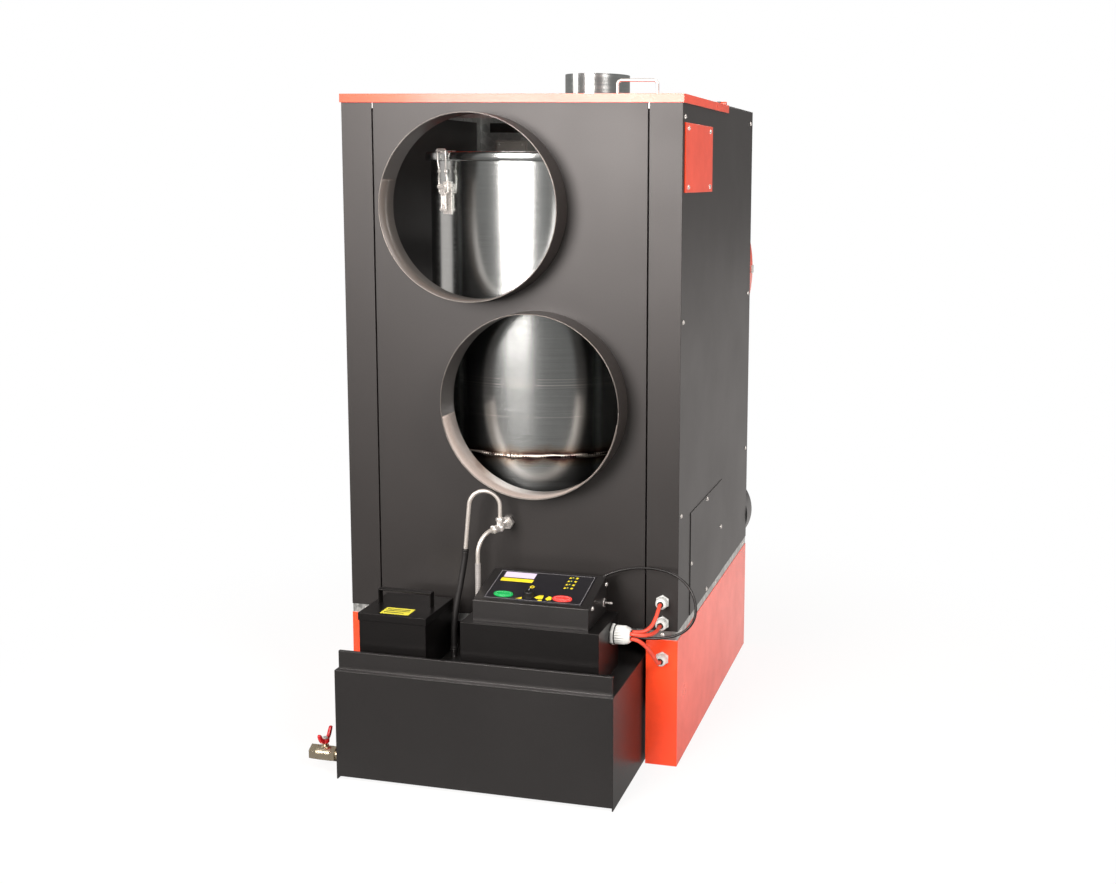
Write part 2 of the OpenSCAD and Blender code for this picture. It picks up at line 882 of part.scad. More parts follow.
module flue_stub() {
    color(steel) translate([drum_x, flue_y, 0]) difference() {
        bar_z(flue_r, [case_top, case_top + flue_rise]);
        bar_z(flue_r - flue_wall, [case_top - over, case_top + flue_rise + over]);
    }
}

// Burner
floor_z = drum_bottom + drum_floor;

module burner_pot() {
    core_r = flame_flange_r + pot_core_gap;
    color(iron) translate([drum_x, drum_y, floor_z]) difference() {
        bar_z(pot_r, [0, pot_h]);
        difference() {
            bar_z(pot_r - pot_wall, [pot_floor, pot_h + over]);
            bar_z(core_r + pot_core_wall, [0, pot_h + over]);
        }
        bar_z(core_r, [-over, pot_h + over]);
    }
}

module flame_tube() {
    color(iron) translate([drum_x, drum_y, floor_z]) difference() {
        union() {
            bar_z(flame_r, [-drum_floor, flame_tube_h]);
            bar_z(flame_flange_r, [0, flame_flange_h]);
        }
        bar_z(flame_r - flame_wall, [-drum_floor - over, flame_tube_h - flame_wall]);
        for (row = [1:flame_hole_rows], k = [0:flame_holes / 2 - 1])
            translate([0, 0, flame_tube_h - row * flame_hole_pitch])
                rotate([0, 0, 360 * k / flame_holes])
                    bar_x(flame_hole_r, pair(flame_r + over), 24);
    }
}

module channel(inset, y) {
    span([channel_x[0] + inset, channel_x[1] - inset], y,
         [deck_top + channel_low + inset, deck_top + channel_low + channel_h - inset]);
}

module air_duct() {
    color(zinc) difference() {
        union() {
            translate([drum_x, drum_y, 0]) bar_z(air_box_r, [deck_top, drum_bottom]);
            channel(0, [drum_y, rear - sheet]);
        }
        translate([drum_x, drum_y, 0]) {
            bar_z(air_box_r - sheet, [deck_top + sheet, drum_bottom - sheet]);
            bar_z(flame_r - flame_wall, [deck_top + sheet, drum_bottom + over]);
        }
        channel(sheet, [drum_y + sheet, rear]);
    }
}

// Blower
blower_y = [rear, rear + blower_depth];

module blower_housing() {
    outlet_z = [deck_top + channel_low, deck_top + channel_low + channel_h];
    color(black) difference() {
        union() {
            translate([blower_x, 0, blower_z]) bar_y(blower_r, blower_y);
            span([channel_x[0], blower_x], blower_y, outlet_z);
        }
        translate([blower_x, 0, blower_z]) {
            bar_y(blower_r - sheet, [blower_y[0] + sheet, blower_y[1] - sheet]);
            bar_y(blower_inlet_r, [blower_y[1] - sheet - over, blower_y[1] + over]);
            bar_y(blower_hub_r, [blower_y[0] - over, blower_y[0] + sheet + over]);
        }
        span([channel_x[0] + sheet, blower_x], [blower_y[0] + sheet, blower_y[1] - sheet],
             [outlet_z[0] + sheet, outlet_z[1] - sheet]);
        span(blower_hole_x, [blower_y[0] - over, blower_y[0] + 2 * sheet], blower_hole_z);
    }
}

module blower_motor() {
    y1 = rear - sheet;
    color(iron) translate([blower_x, 0, blower_z]) difference() {
        bar_y(blower_motor_r, [y1 - blower_motor_len, y1]);
        bar_y(shaft_r + run, [y1 - blower_motor_len / 2, y1 + over]);
    }
}

module blower_impeller() {
    y0 = blower_y[0] + blower_wheel_gap;
    y1 = y0 + blower_wheel_w;
    inner = blower_vane_share * blower_wheel_r;
    color(zinc) translate([blower_x, 0, blower_z]) {
        bar_y(shaft_r, [rear - sheet - blower_motor_len / 2, y1]);
        bar_y(blower_hub_r - over, [y0, y1]);
        bar_y(blower_wheel_r, [y0, y0 + blower_disc_t]);
        for (k = [0:blower_vanes - 1])
            rotate([0, 360 * k / blower_vanes, 0])
                span([inner, blower_wheel_r - over], about(y0 + blower_wheel_w / 2, blower_wheel_w),
                     about(0, blower_disc_t));
    }
}

// Main fan
module fan_plate() {
    y = [fan_back_y - sheet, fan_back_y];
    color(zinc) difference() {
        union() {
            span(pair(fan_plate_half_w), y, about(fan_z, 2 * fan_plate_half_h));
            translate([0, 0, fan_z]) bar_y(fan_r + fan_wall, [y[0], y[0] + fan_duct_len], 128);
        }
        translate([0, 0, fan_z]) bar_y(fan_r, [y[0] - over, y[0] + fan_duct_len + over], 128);
    }
}

module fan_ring() {
    r = fan_ring_d / 2;
    inner = fan_r + fan_wall + fan_hole_gap;
    y1 = rear + fan_ring_depth;
    color(red) translate([0, 0, fan_z]) difference() {
        bar_y(r, [rear, y1], 128);
        difference() {
            bar_y(r - sheet, [rear - over, y1 - sheet], 128);
            bar_y(inner + sheet, [rear - over, y1], 128);
        }
        bar_y(inner, [rear - over, y1 + over], 128);
    }
}

guard_y = [rear + fan_ring_depth, rear + fan_ring_depth + guard_bar[1]];

module guard_hoop(r) {
    difference() {
        bar_y(r, guard_y);
        bar_y(r - guard_bar[0], [guard_y[0] - over, guard_y[1] + over]);
    }
}

module fan_guard() {
    r0 = fan_motor_r + guard_bar[0];
    r1 = fan_ring_d / 2;
    seat = fan_r + fan_wall + fan_hole_gap;
    color(zinc) translate([0, 0, fan_z]) {
        for (k = [0:guard_rings - 1])
            guard_hoop(r0 + k * (seat + guard_bar[0] - r0) / (guard_rings - 1));
        for (k = [0:guard_spokes - 1])
            rotate([0, 360 * k / guard_spokes, 0]) {
                span([fan_motor_r - guard_bar[0], r1], guard_y, about(0, guard_bar[0]));
                span([r1, r1 + sheet], [guard_y[1] - guard_lug[1], guard_y[1]], about(0, guard_lug[0]));
            }
        bar_y(fan_motor_r, guard_y);
    }
}

module fan_motor() {
    y = [guard_y[0] - fan_motor_len, guard_y[0]];
    color(iron) translate([0, 0, fan_z]) difference() {
        bar_y(fan_motor_r, y);
        bar_y(fan_shaft_r + run, [y[0] - over, y[1] - fan_motor_len / 4]);
    }
}

module fan_impeller() {
    hub_y = [fan_hub_y, fan_hub_y + fan_hub_w];
    mid = (hub_y[0] + hub_y[1]) / 2;
    tip = fan_r - fan_tip_gap;
    color(steel) translate([0, 0, fan_z]) {
        bar_y(fan_hub_r, hub_y);
        bar_y(fan_shaft_r, [hub_y[0], guard_y[0] - fan_motor_len / 2]);
        intersection() {
            bar_y(tip, [hub_y[0] - fan_blade_chord, hub_y[1] + fan_blade_chord]);
            for (k = [0:fan_blades - 1])
                rotate([0, 360 * k / fan_blades, 0])
                    translate([fan_motor_r + sheet, mid, 0])
                        rotate([fan_blade_pitch, 0, 0])
                            span([0, fan_r], about(0, fan_blade_t), about(0, fan_blade_chord));
        }
    }
}

module fan_terminal_box() {
    y1 = fan_back_y - sheet;
    z1 = fan_z + terminal_corner[1];
    color(white) span([terminal_corner[0], terminal_corner[0] + terminal_size[0]],
                      [y1 - terminal_size[1], y1], [z1 - terminal_size[2], z1]);
}

// Tank and tray
filler_w = filler_share * 2 * tank_half;
pump_box_w = pump_box_share * 2 * tank_half;
strap_w = filler_w - 2 * strap_edge;
filler_x = [-tank_half + filler_edge, -tank_half + filler_edge + filler_w];
pump_x = [tank_half - pump_edge - pump_box_w, tank_half - pump_edge];
box_y = [tank_y0 + box_setback, tank_y0 + box_setback + box_d];
box_z = [tank_top, tank_top + box_h];
filler_mid = [(filler_x[0] + filler_x[1]) / 2, (box_y[0] + box_y[1]) / 2];
pump_axis_y = (box_y[0] + box_y[1]) / 2;
pump_motor_x = [pump_x[0] + pump_motor_edge, pump_x[0] + pump_motor_edge + pump_motor_len];
pump_cube_x = [pump_motor_x[1] + pump_shaft_gap, pump_motor_x[1] + pump_shaft_gap + pump_cube];
pump_axis_z = tank_top + pump_axis_rise;
control_w = pump_box_w - control_inset - control_edge;
button_x = control_w * button_shares;
knob_x = control_w * knob_share;
lamp_x = control_w * lamp_share;

// Routes of the cables, from the casing's right side, its front and the floor
function from_side(route) = [for (p = route) [hw + p[0], front + p[1], p[2]]];
red_route_top = from_side([
    [-69, -80, 294], [-64, -80, 294], [-56, -79, 294], [-46, -74, 295], [-37, -63, 301],
    [-32, -49, 312], [-30, -35, 324], [-30, -25, 330], [-30, -20, 330]
]);
red_route_mid = from_side([
    [-69, -92, 294], [-64, -92, 294], [-54, -91, 293], [-43, -84, 291], [-34, -70, 289],
    [-30, -50, 288], [-30, -34, 288], [-30, -20, 288]
]);
red_route_low = from_side([
    [-69, -90, 284], [-64, -90, 284], [-56, -89, 282], [-47, -83, 274], [-39, -71, 259],
    [-33, -55, 239], [-30, -38, 222], [-30, -27, 217], [-30, -20, 217]
]);
signal_route = from_side([
    [-150, -44, 372], [-150, -38, 372], [-144, -28, 377], [-126, -24, 386], [-100, -24, 395],
    [-68, -28, 402], [-34, -34, 404], [-2, -42, 400], [24, -50, 388], [41, -58, 370],
    [49, -64, 348], [48, -70, 326], [36, -75, 307], [15, -79, 294], [-14, -81, 287],
    [-40, -82, 285], [-58, -82, 285], [-69, -82, 285]
]);

// The feed hose drops onto its tail; the return hose runs from the pipe's end to its tail
feed_inset = [6, 96];
feed_at = [pump_x[0] + feed_inset[0], front - feed_inset[1]];
feed_rises = [91, 75, 57, 39, hose_tail_h];
feed_route = [for (h = feed_rises) [feed_at[0], feed_at[1], box_z[1] + h]];
tee_y = front - inlet_reach;
loop_out = loop_r + loop_r * cos(loop_lean) + loop_leg * sin(loop_lean);
return_top = [
    inlet_x - loop_out * cos(loop_turn), tee_y - loop_out * sin(loop_turn),
    deck_top + inlet_rise + loop_rise + loop_r * sin(loop_lean) - loop_leg * cos(loop_lean)
];
return_inset = [17, 80];
return_tail = [filler_x[1] + return_inset[0], front - return_inset[1], tank_top + return_tail_h];
return_shares = [
    [0, 0, 0], [0.067, 0.042, 0.073], [0.267, 0.208, 0.208], [0.467, 0.458, 0.354],
    [0.733, 0.708, 0.51], [0.933, 0.917, 0.688], [1, 1, 0.844], [1, 1, 1]
];
return_route = [
    for (s = return_shares) [for (k = [0:2]) return_top[k] + s[k] * (return_tail[k] - return_top[k])]
];

module fuel_tank() {
    color(black) {
        difference() {
            span(pair(tank_half), [tank_y0, tank_y1], [skid_h, tank_top]);
            span(pair(tank_half - sheet), [tank_y0 + sheet, tank_y1 - sheet],
                 [skid_h + sheet, tank_top - sheet]);
            translate([filler_mid[0], filler_mid[1], 0])
                bar_z(strainer_r + over, [tank_top - sheet - over, tank_top + over]);
            translate([(pump_cube_x[0] + pump_cube_x[1]) / 2, pump_axis_y, 0])
                bar_z(suction_r + over, [tank_top - sheet - over, tank_top + over]);
            translate([0, valve_y, valve_z])
                bar_x(valve_bore_r, [-tank_half - over, -tank_half + sheet + over]);
        }
        for (m = [0, 1]) mirror([m, 0, 0])
            span([tank_half - sheet, tank_half], [tank_y0, tank_y1], [0, skid_h + sheet]);
        span(pair(tank_half - lip_side), [tank_y0 + lip_setback, tank_y0 + lip_setback + sheet],
             [tank_top, tank_top + lip_h]);
        span(pair(tank_half - lip_side), [tank_y0 + lip_setback, tank_y0 + lip_setback + lip_hem],
             [tank_top + lip_h - sheet, tank_top + lip_h]);
        translate([return_tail[0], return_tail[1], 0])
            bar_z(return_r, [tank_top - sheet, tank_top + return_tail_h], 32);
    }
}

// Drain valve
module drain_valve_body() {
    hex1 = valve_x + valve_barrel[1] / 2;
    hex2 = valve_x - valve_barrel[1] / 2;
    tip = hex2 - valve_end_len;
    color(brass) translate([0, valve_y, valve_z]) difference() {
        union() {
            bar_x(valve_nipple[0], [hex1, -tank_half], 48);
            bar_x(valve_hex_r, [hex1, hex1 + valve_hex_len], 6);
            bar_x(valve_barrel[0], [hex2, hex1], 48);
            bar_x(valve_hex_r, [tip, hex2], 6);
            translate([valve_x, 0, 0]) bar_z(valve_neck[0], [0, valve_neck[1]], 48);
        }
        bar_x(valve_bore_r, [tip - over, -tank_half + over], 48);
        bar_x(valve_thread_r, [tip - over, tip + valve_thread_len], 48);
        translate([valve_x, 0, 0]) {
            sphere(r = valve_ball_r + run);
            bar_z(valve_stem_r + run, [0, valve_neck[1] + over], 48);
        }
    }
}

module drain_valve_ball() {
    color(steel) translate([valve_x, valve_y, valve_z]) difference() {
        union() {
            sphere(r = valve_ball_r);
            bar_z(valve_stem_r, [0, valve_stem_len + valve_hub[1]], 48);
        }
        bar_y(valve_bore_r, pair(valve_ball_r + over), 48);
    }
}

module drain_valve_handle() {
    z0 = valve_stem_len;
    color("#c8222a") translate([valve_x, valve_y, valve_z]) difference() {
        union() {
            bar_z(valve_hub[0], [z0, z0 + valve_hub[1]], 48);
            span(pair(valve_wing[0]), pair(valve_wing_reach), [z0, z0 + valve_wing[0]]);
            for (m = [0, 1]) mirror([0, m, 0])
                span(pair(valve_wing[0] / 2), [valve_wing_reach - valve_wing[1], valve_wing_reach],
                     [z0, z0 + valve_wing[2]]);
        }
        bar_z(valve_stem_r, [z0 - over, z0 + valve_hub[1] + over], 48);
    }
}

// Filler box
module filler_box() {
    inset = box_sheet + gap;
    top = box_z[1] - box_sheet - gap;
    x = [filler_x[0] + inset, filler_x[1] - inset];
    y = [box_y[0] + inset, box_y[1] - inset];
    color(black) difference() {
        span(x, y, [box_z[0], top]);
        span([x[0] + box_sheet, x[1] - box_sheet], [y[0] + box_sheet, y[1] - box_sheet],
             [box_z[0] + box_sheet, top + over]);
        translate([filler_mid[0], filler_mid[1], 0])
            bar_z(strainer_r + over, [box_z[0] - over, box_z[0] + box_sheet + over]);
    }
}

module filler_lid() {
    strap_z = box_z[1] + strap_h;
    color(black) {
        difference() {
            span(filler_x, box_y, [box_z[1] - filler_skirt_h, box_z[1]]);
            span([filler_x[0] + box_sheet, filler_x[1] - box_sheet],
                 [box_y[0] + box_sheet, box_y[1] - box_sheet],
                 [box_z[1] - filler_skirt_h - over, box_z[1] - box_sheet]);
        }
        for (s = [-1, 1])
            span(about(filler_mid[0] + s * (strap_w - strap_t) / 2, strap_t),
                 about(filler_mid[1], strap_depth), [box_z[1], strap_z]);
        span(about(filler_mid[0], strap_w), about(filler_mid[1], strap_depth),
             [strap_z - strap_t, strap_z]);
    }
}

module filler_strainer() {
    z1 = box_z[0] + box_sheet;
    low = z1 - strainer_depth;
    color(steel) translate([filler_mid[0], filler_mid[1], 0]) difference() {
        union() {
            bar_z(strainer_r, [low, z1 + strainer_wall]);
            bar_z(strainer_r + strainer_flange, [z1, z1 + strainer_wall]);
        }
        bar_z(strainer_r - strainer_wall, [low + strainer_wall, z1 + strainer_wall + over]);
        for (k = [0:strainer_slots / 2 - 1])
            rotate([0, 0, 360 * k / strainer_slots])
                span(pair(strainer_r + over), about(0, strainer_slot[0]),
                     about((low + z1) / 2, strainer_slot[1]));
    }
}

// Pump box and pump set
module pump_box() {
    color(black) {
        difference() {
            span(pump_x, box_y, box_z);
            span([pump_x[0] + box_sheet, pump_x[1] - box_sheet],
                 [box_y[0] + box_sheet, box_y[1] - box_sheet],
                 [box_z[0] - over, box_z[1] - box_sheet]);
        }
        translate([feed_at[0], feed_at[1], 0])
            bar_z(hose_tail_r, [box_z[1] - box_sheet, box_z[1] + hose_tail_h], 32);
    }
}

module pump_motor() {
    color(iron) {
        translate([0, pump_axis_y, pump_axis_z]) difference() {
            bar_x(pump_motor_r, pump_motor_x);
            bar_x(pump_shaft_r + run, [pump_motor_x[1] - pump_shaft_gap / 2, pump_motor_x[1] + over]);
        }
        for (x = [pump_motor_x[0] + pump_foot_w / 2, pump_motor_x[1] - pump_foot_w / 2])
            span(about(x, sheet * 2), about(pump_axis_y, pump_foot_w),
                 [tank_top, pump_axis_z - pump_motor_r / 2]);
    }
}

module gear_pump() {
    mid_x = (pump_cube_x[0] + pump_cube_x[1]) / 2;
    color(iron) {
        difference() {
            span(pump_cube_x, about(pump_axis_y, pump_cube), [tank_top, pump_axis_z + pump_cube / 2]);
            translate([0, pump_axis_y, pump_axis_z])
                bar_x(pump_shaft_r + run, [pump_cube_x[0] - over, pump_cube_x[0] + pump_shaft_gap / 2]);
        }
        translate([mid_x, pump_axis_y, 0])
            bar_z(suction_r, [tank_top - suction_depth, tank_top + over], 48);
    }
}

module pump_coupling() {
    mid = (pump_motor_x[1] + pump_cube_x[0]) / 2;
    color(brass) translate([0, pump_axis_y, pump_axis_z]) {
        bar_x(pump_shaft_r,
              [pump_motor_x[1] - pump_shaft_gap / 3, pump_cube_x[0] + pump_shaft_gap / 3], 48);
        bar_x(coupling_r, about(mid, coupling_len), 48);
    }
}

// Fuel line: the feed pipe ends where its hose starts
cap_end = inlet_ball_r / 2 + inlet_cap[1];
feed_to = [feed_at[0] - inlet_x, feed_at[1] - tee_y];
feed_turn = atan2(-feed_to[0], -feed_to[1]);
feed_reach = norm(feed_to);
feed_bend_r = feed_reach - feed_run;

module fuel_inlet() {
    color(steel) translate([inlet_x, 0, inlet_z]) {
        bar_y(inlet_stem_r, [tee_y, drum_y - drip_r], 48);
        bar_y(inlet_nut[0], [front - inlet_nut[1], front], 6);
        translate([0, drum_y - drip_r, 0]) {
            sphere(r = inlet_stem_r, $fn = 48);
            bar_z(inlet_stem_r, [-drip_drop, 0], 48);
        }
        translate([0, tee_y, 0]) {
            sphere(r = inlet_ball_r, $fn = 48);
            bar_z(inlet_cap[0], [inlet_ball_r / 2, cap_end], 6);
            rotate([0, 0, -feed_turn])
                bar_y(inlet_cap[0], [-cap_end, -inlet_ball_r / 2], 6);
        }
    }
}

// The return pipe rises, loops over to the left and comes down; the feed pipe bends down in front
module steel_fuel_pipes() {
    color(steel) translate([inlet_x, tee_y, inlet_z]) {
        bar_z(pipe_r, [cap_end, loop_rise], 48);
        rotate([0, 0, loop_turn]) translate([-loop_r, 0, loop_rise]) {
            rotate([90, 0, 0]) rotate_extrude(angle = 180 - loop_lean)
                translate([loop_r, 0]) circle(r = pipe_r, $fn = 48);
            rotate([0, loop_lean, 0]) translate([-loop_r, 0, 0]) bar_z(pipe_r, [-loop_leg, 0], 48);
        }
        rotate([0, 0, -feed_turn]) {
            bar_y(pipe_r, [-feed_run, -cap_end], 48);
            translate([0, -feed_run, -feed_bend_r]) rotate([90, 0, -90])
                rotate_extrude(angle = 90) translate([feed_bend_r, 0]) circle(r = pipe_r, $fn = 48);
            translate([0, -feed_reach, 0]) bar_z(pipe_r, [feed_route[0][2] - inlet_z, -feed_bend_r], 48);
        }
    }
}

module fuel_hoses() {
    color(rubber) {
        cord(return_route, return_r);
        cord(feed_route, feed_hose_r);
    }
}

// Control box: a wedge with a sloping top
control_x = [pump_x[0] + control_inset, pump_x[0] + control_inset + control_w];
control_y = [box_y[0] + control_setback, box_y[1]];
control_z = box_z[1];
control_run = control_y[1] - control_y[0];
slope = atan2(control_rear_h - control_front_h, control_run);

module wedge(inset) {
    points = [
        [control_y[0] + inset, inset], [control_y[1] - inset, inset],
        [control_y[1] - inset, control_rear_h - inset], [control_y[0] + inset, control_front_h - inset]
    ];
    translate([control_x[0] + inset, 0, control_z]) rotate([90, 0, 90])
        linear_extrude(control_w - 2 * inset) polygon(points);
}

// Places things on the sloping top: x to the right, y up the slope, z out of it
module on_top() {
    translate([control_x[0], control_y[0], control_z + control_front_h]) rotate([slope, 0, 0]) children();
}

module oval(size, grow, z) {
    points = [for (a = [0:7.5:359]) [(size[0] / 2 + grow) * cos(a), (size[1] / 2 + grow) * sin(a)]];
    translate([0, 0, z[0]]) linear_extrude(z[1] - z[0]) polygon(points);
}

module panel_holes(z) {
    for (x = button_x) translate([x, button_row, 0]) oval(button_size, button_gap, z);
    translate([knob_x, button_row, 0]) bar_z(knob_shaft_r + run, z, 48);
    for (y = lamp_rows) translate([lamp_x, y, 0]) bar_z(lamp_r + gap, z, 24);
}

toggle_at = [control_x[1], control_y[0] + toggle_y_share * control_run, control_z + toggle_rise];

module control_box() {
    color(black) {
        difference() {
            wedge(0);
            wedge(box_sheet);
            on_top() panel_holes([-3 * box_sheet, over]);
            translate(toggle_at) bar_x(toggle_bore_r, [-2 * box_sheet, over], 48);
        }
        translate(toggle_at) difference() {
            bar_x(toggle_bush_r, [-box_sheet, toggle_bush_h], 48);
            bar_x(toggle_bore_r, [-box_sheet - over, toggle_bush_h + over], 48);
        }
    }
}

module control_panel() {
    color("#222226") on_top() difference() {
        span([panel_corner[0], control_w - panel_edge],
             [panel_corner[1], panel_corner[1] + panel_d], [0, panel_t]);
        panel_holes([-over, panel_t + over]);
    }
}

module push_button(x, tint) {
    color(tint) on_top() translate([x, button_row, 0]) {
        oval(button_size, 0, [-button_stem, panel_t + button_h - button_edge]);
        oval(button_size, -button_edge, [-button_stem, panel_t + button_h]);
    }
}

module start_button() { push_button(button_x[0], "#25b060"); }
module stop_button() { push_button(button_x[1], "#e8564a"); }

module power_knob() {
    z0 = panel_t + gap;
    color(rubber) on_top() translate([knob_x, button_row, 0]) {
        bar_z(knob_shaft_r, [-knob_shaft_len, z0 + over], 48);
        bar_z(knob_r, [z0, z0 + knob_h], 20);
        span(about(0, knob_pointer[0]), [0, knob_pointer[1]], [z0 + knob_h, z0 + knob_h + knob_pointer[2]]);
    }
}

module circuit_board() {
    x = [board_edge, control_w - board_edge];
    y = about(control_run / cos(slope) / 2, board_d);
    color("#2f6b46") on_top() difference() {
        union() {
            span(x, y, [-board_depth - board_t, -board_depth]);
            for (a = [x[0] + board_post_r, x[1] - board_post_r],
                 b = [y[0] + board_post_r, y[1] - board_post_r])
                translate([a, b, 0]) bar_z(board_post_r, [-board_depth, -box_sheet - gap], 32);
            for (b = lamp_rows)
                translate([lamp_x, b, 0]) bar_z(lamp_r, [-board_depth, panel_t + over], 24);
            span(about(knob_x, switch_w), about(button_row, switch_w), [-board_depth, -switch_top]);
        }
        translate([knob_x, button_row, 0])
            bar_z(knob_shaft_r + run, [-knob_shaft_len - over, -switch_top + over], 48);
    }
}

module pump_toggle_lever() {
    color(steel) translate(toggle_at) {
        translate([toggle_bush_h / 2, 0, 0]) bar_y(toggle_barrel[0], pair(toggle_barrel[1]), 48);
        rotate([0, 90, 0]) rotate_extrude($fn = 48) polygon(toggle_outline);
    }
}

// Cable glands: hexagon, seal, ribbed nut and rounded end, along Z from zero
// s: hexagon's corner radius, its height, nut radius, nut height, end radius, end height
module gland(s) {
    z1 = s[1];
    z2 = z1 + s[3];
    cylinder(r = s[0], h = z1, $fn = 6);
    rotate_extrude($fn = 64) polygon([
        [0, 0], [s[2], 0], [s[2], z2],
        [(s[2] + s[4]) / 2, z2 + gland_round_share * s[5]], [s[4], z2 + s[5]], [0, z2 + s[5]]
    ]);
}

big_gland_at = [pump_x[1], box_y[1] - big_gland_back, box_z[1] - big_gland_drop];
small_gland_x = hw - small_gland_edge;
small_gland_z = [
    deck_top + small_gland_rises[0], deck_top + small_gland_rises[1], base_h - plinth_gland_drop
];

module cable_glands() {
    color(white) {
        translate(big_gland_at) rotate([0, 90, 0]) gland(gland_big);
        for (z = small_gland_z)
            translate([small_gland_x, front, z]) rotate([90, 0, 0]) gland(gland_small);
        translate(mains_at) rotate([-90, 0, 0]) difference() {
            gland(gland_small);
            translate([0, 0, -over])
                cylinder(r = mains_bore_r, h = gland_small[1] + gland_small[3] + gland_small[5] + 2 * over);
        }
    }
}

module silicone_cables() {
    color("#e8604a") {
        cord(red_route_top, silicone_r);
        cord(red_route_mid, silicone_r);
        cord(red_route_low, silicone_r);
    }
}

module signal_cable() {
    color(rubber) cord(signal_route, signal_r);
}

plinth();
deck_frame();
left_side_panel();
right_side_panel();
front_panel();
rear_panel();
rear_top_plate();
top_cover();
cover_handle();
side_hatch();
badge_plate();
casing_screws();
upper_outlet_collar();
lower_outlet_collar();
chamber_drum();
chamber_lid();
lid_gasket();
latch_brackets();
front_latch_lever();
front_latch_bail();
rear_latch_lever();
rear_latch_bail();
flue_riser();
flue_stub();
burner_pot();
flame_tube();
air_duct();
blower_housing();
blower_motor();
blower_impeller();
fan_plate();
fan_ring();
fan_guard();
fan_motor();
fan_impeller();
fan_terminal_box();
fuel_tank();
drain_valve_body();
drain_valve_ball();
drain_valve_handle();
filler_box();
filler_lid();
filler_strainer();
pump_box();
pump_motor();
gear_pump();
pump_coupling();
fuel_inlet();
steel_fuel_pipes();
fuel_hoses();
control_box();
control_panel();
start_button();
stop_button();
power_knob();
circuit_board();
pump_toggle_lever();
cable_glands();
silicone_cables();
signal_cable();
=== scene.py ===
"""Oil stove: the looks of a warm-air heater that burns oil in a pan inside a steel drum.

Metres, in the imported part's own frame: +X right, +Y to the rear, +Z up, origin on the floor.
"""
import math

import bpy
import numpy as np
from mathutils import Matrix


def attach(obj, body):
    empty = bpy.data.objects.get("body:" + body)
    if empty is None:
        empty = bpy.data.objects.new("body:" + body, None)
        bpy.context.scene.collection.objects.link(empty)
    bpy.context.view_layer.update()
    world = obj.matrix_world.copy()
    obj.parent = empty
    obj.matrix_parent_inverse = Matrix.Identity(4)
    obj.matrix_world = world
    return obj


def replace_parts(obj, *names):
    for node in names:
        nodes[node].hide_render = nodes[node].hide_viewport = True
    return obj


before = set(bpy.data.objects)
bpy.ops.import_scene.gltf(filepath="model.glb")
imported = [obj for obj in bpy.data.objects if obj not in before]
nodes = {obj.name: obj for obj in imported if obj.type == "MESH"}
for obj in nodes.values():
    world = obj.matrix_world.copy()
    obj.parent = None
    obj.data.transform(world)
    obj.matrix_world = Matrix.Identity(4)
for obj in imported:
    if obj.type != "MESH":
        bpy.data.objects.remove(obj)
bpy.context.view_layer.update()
MM = 0.001


def linear(code, alpha=1.0):
    """sRGB hex to linear red, green, blue and alpha."""
    c = np.array([int(code[i:i + 2], 16) for i in (1, 3, 5)]) / 255.0
    c = np.where(c <= 0.04045, c / 12.92, ((c + 0.055) / 1.055) ** 2.4)
    return (*map(float, c), alpha)


def add(tree, kind, inputs=None, **settings):
    """Adds one shader node; inputs maps a socket's name or number to a value or to another socket."""
    n = tree.nodes.new("ShaderNode" + kind)
    for key, value in settings.items():
        setattr(n, key, value)
    for key, value in (inputs or {}).items():
        if isinstance(value, bpy.types.NodeSocket):
            tree.links.new(value, n.inputs[key])
        else:
            n.inputs[key].default_value = value
    return n


# Camera: fitted in pixels to the edges of the casing and tank and to both outlets' rims. Its shift is kept
# a little smaller than the best fit's, so that the heater stays in frame from other sides.
IMAGE_W, IMAGE_H, SENSOR = 1116, 884, 36.0
VIEW_F, VIEW_PP = 1305.4, (703.7, 345.0)
YAW, PITCH, ROLL = map(math.radians, (12.457, 7.391, 0.716))
STAND = (0.9030, -2.6993, 1.1420)


def make_camera():
    """A camera whose axes come from yaw, pitch and roll, with a shift for the picture's centre."""
    ahead = np.array([-math.sin(YAW) * math.cos(PITCH), math.cos(YAW) * math.cos(PITCH), -math.sin(PITCH)])
    right = np.array([math.cos(YAW), math.sin(YAW), 0.0])
    up = np.cross(right, ahead)
    r = math.cos(ROLL) * right + math.sin(ROLL) * up
    u = -math.sin(ROLL) * right + math.cos(ROLL) * up
    data = bpy.data.cameras.new("camera")
    data.sensor_width = SENSOR
    data.lens = VIEW_F / IMAGE_W * SENSOR
    data.shift_x = -(VIEW_PP[0] - IMAGE_W / 2) / IMAGE_W
    data.shift_y = -(IMAGE_H / 2 - VIEW_PP[1]) / IMAGE_W
    data.clip_start, data.clip_end = 0.05, 60
    cam = bpy.data.objects.new("camera", data)
    m = Matrix.Identity(4)
    for i in range(3):
        m[i][0], m[i][1], m[i][2], m[i][3] = r[i], u[i], -ahead[i], STAND[i]
    cam.matrix_world = m
    bpy.context.scene.collection.objects.link(cam)
    bpy.context.scene.camera = cam


make_camera()

# Materials. Object coordinates are metres, so a pattern of size s has the scale 1 / s.


def begin(name, **surface):
    """Starts a material: a Principled shader with the given sockets, its tree and the object coordinates."""
    mat = bpy.data.materials.new(name)
    mat.use_nodes = True
    tree = mat.node_tree
    tree.nodes.clear()
    shader = add(tree, "BsdfPrincipled", surface)
    add(tree, "OutputMaterial", {"Surface": shader.outputs[0]})
    place = add(tree, "TexCoord").outputs["Object"]
    return mat, tree, shader, place


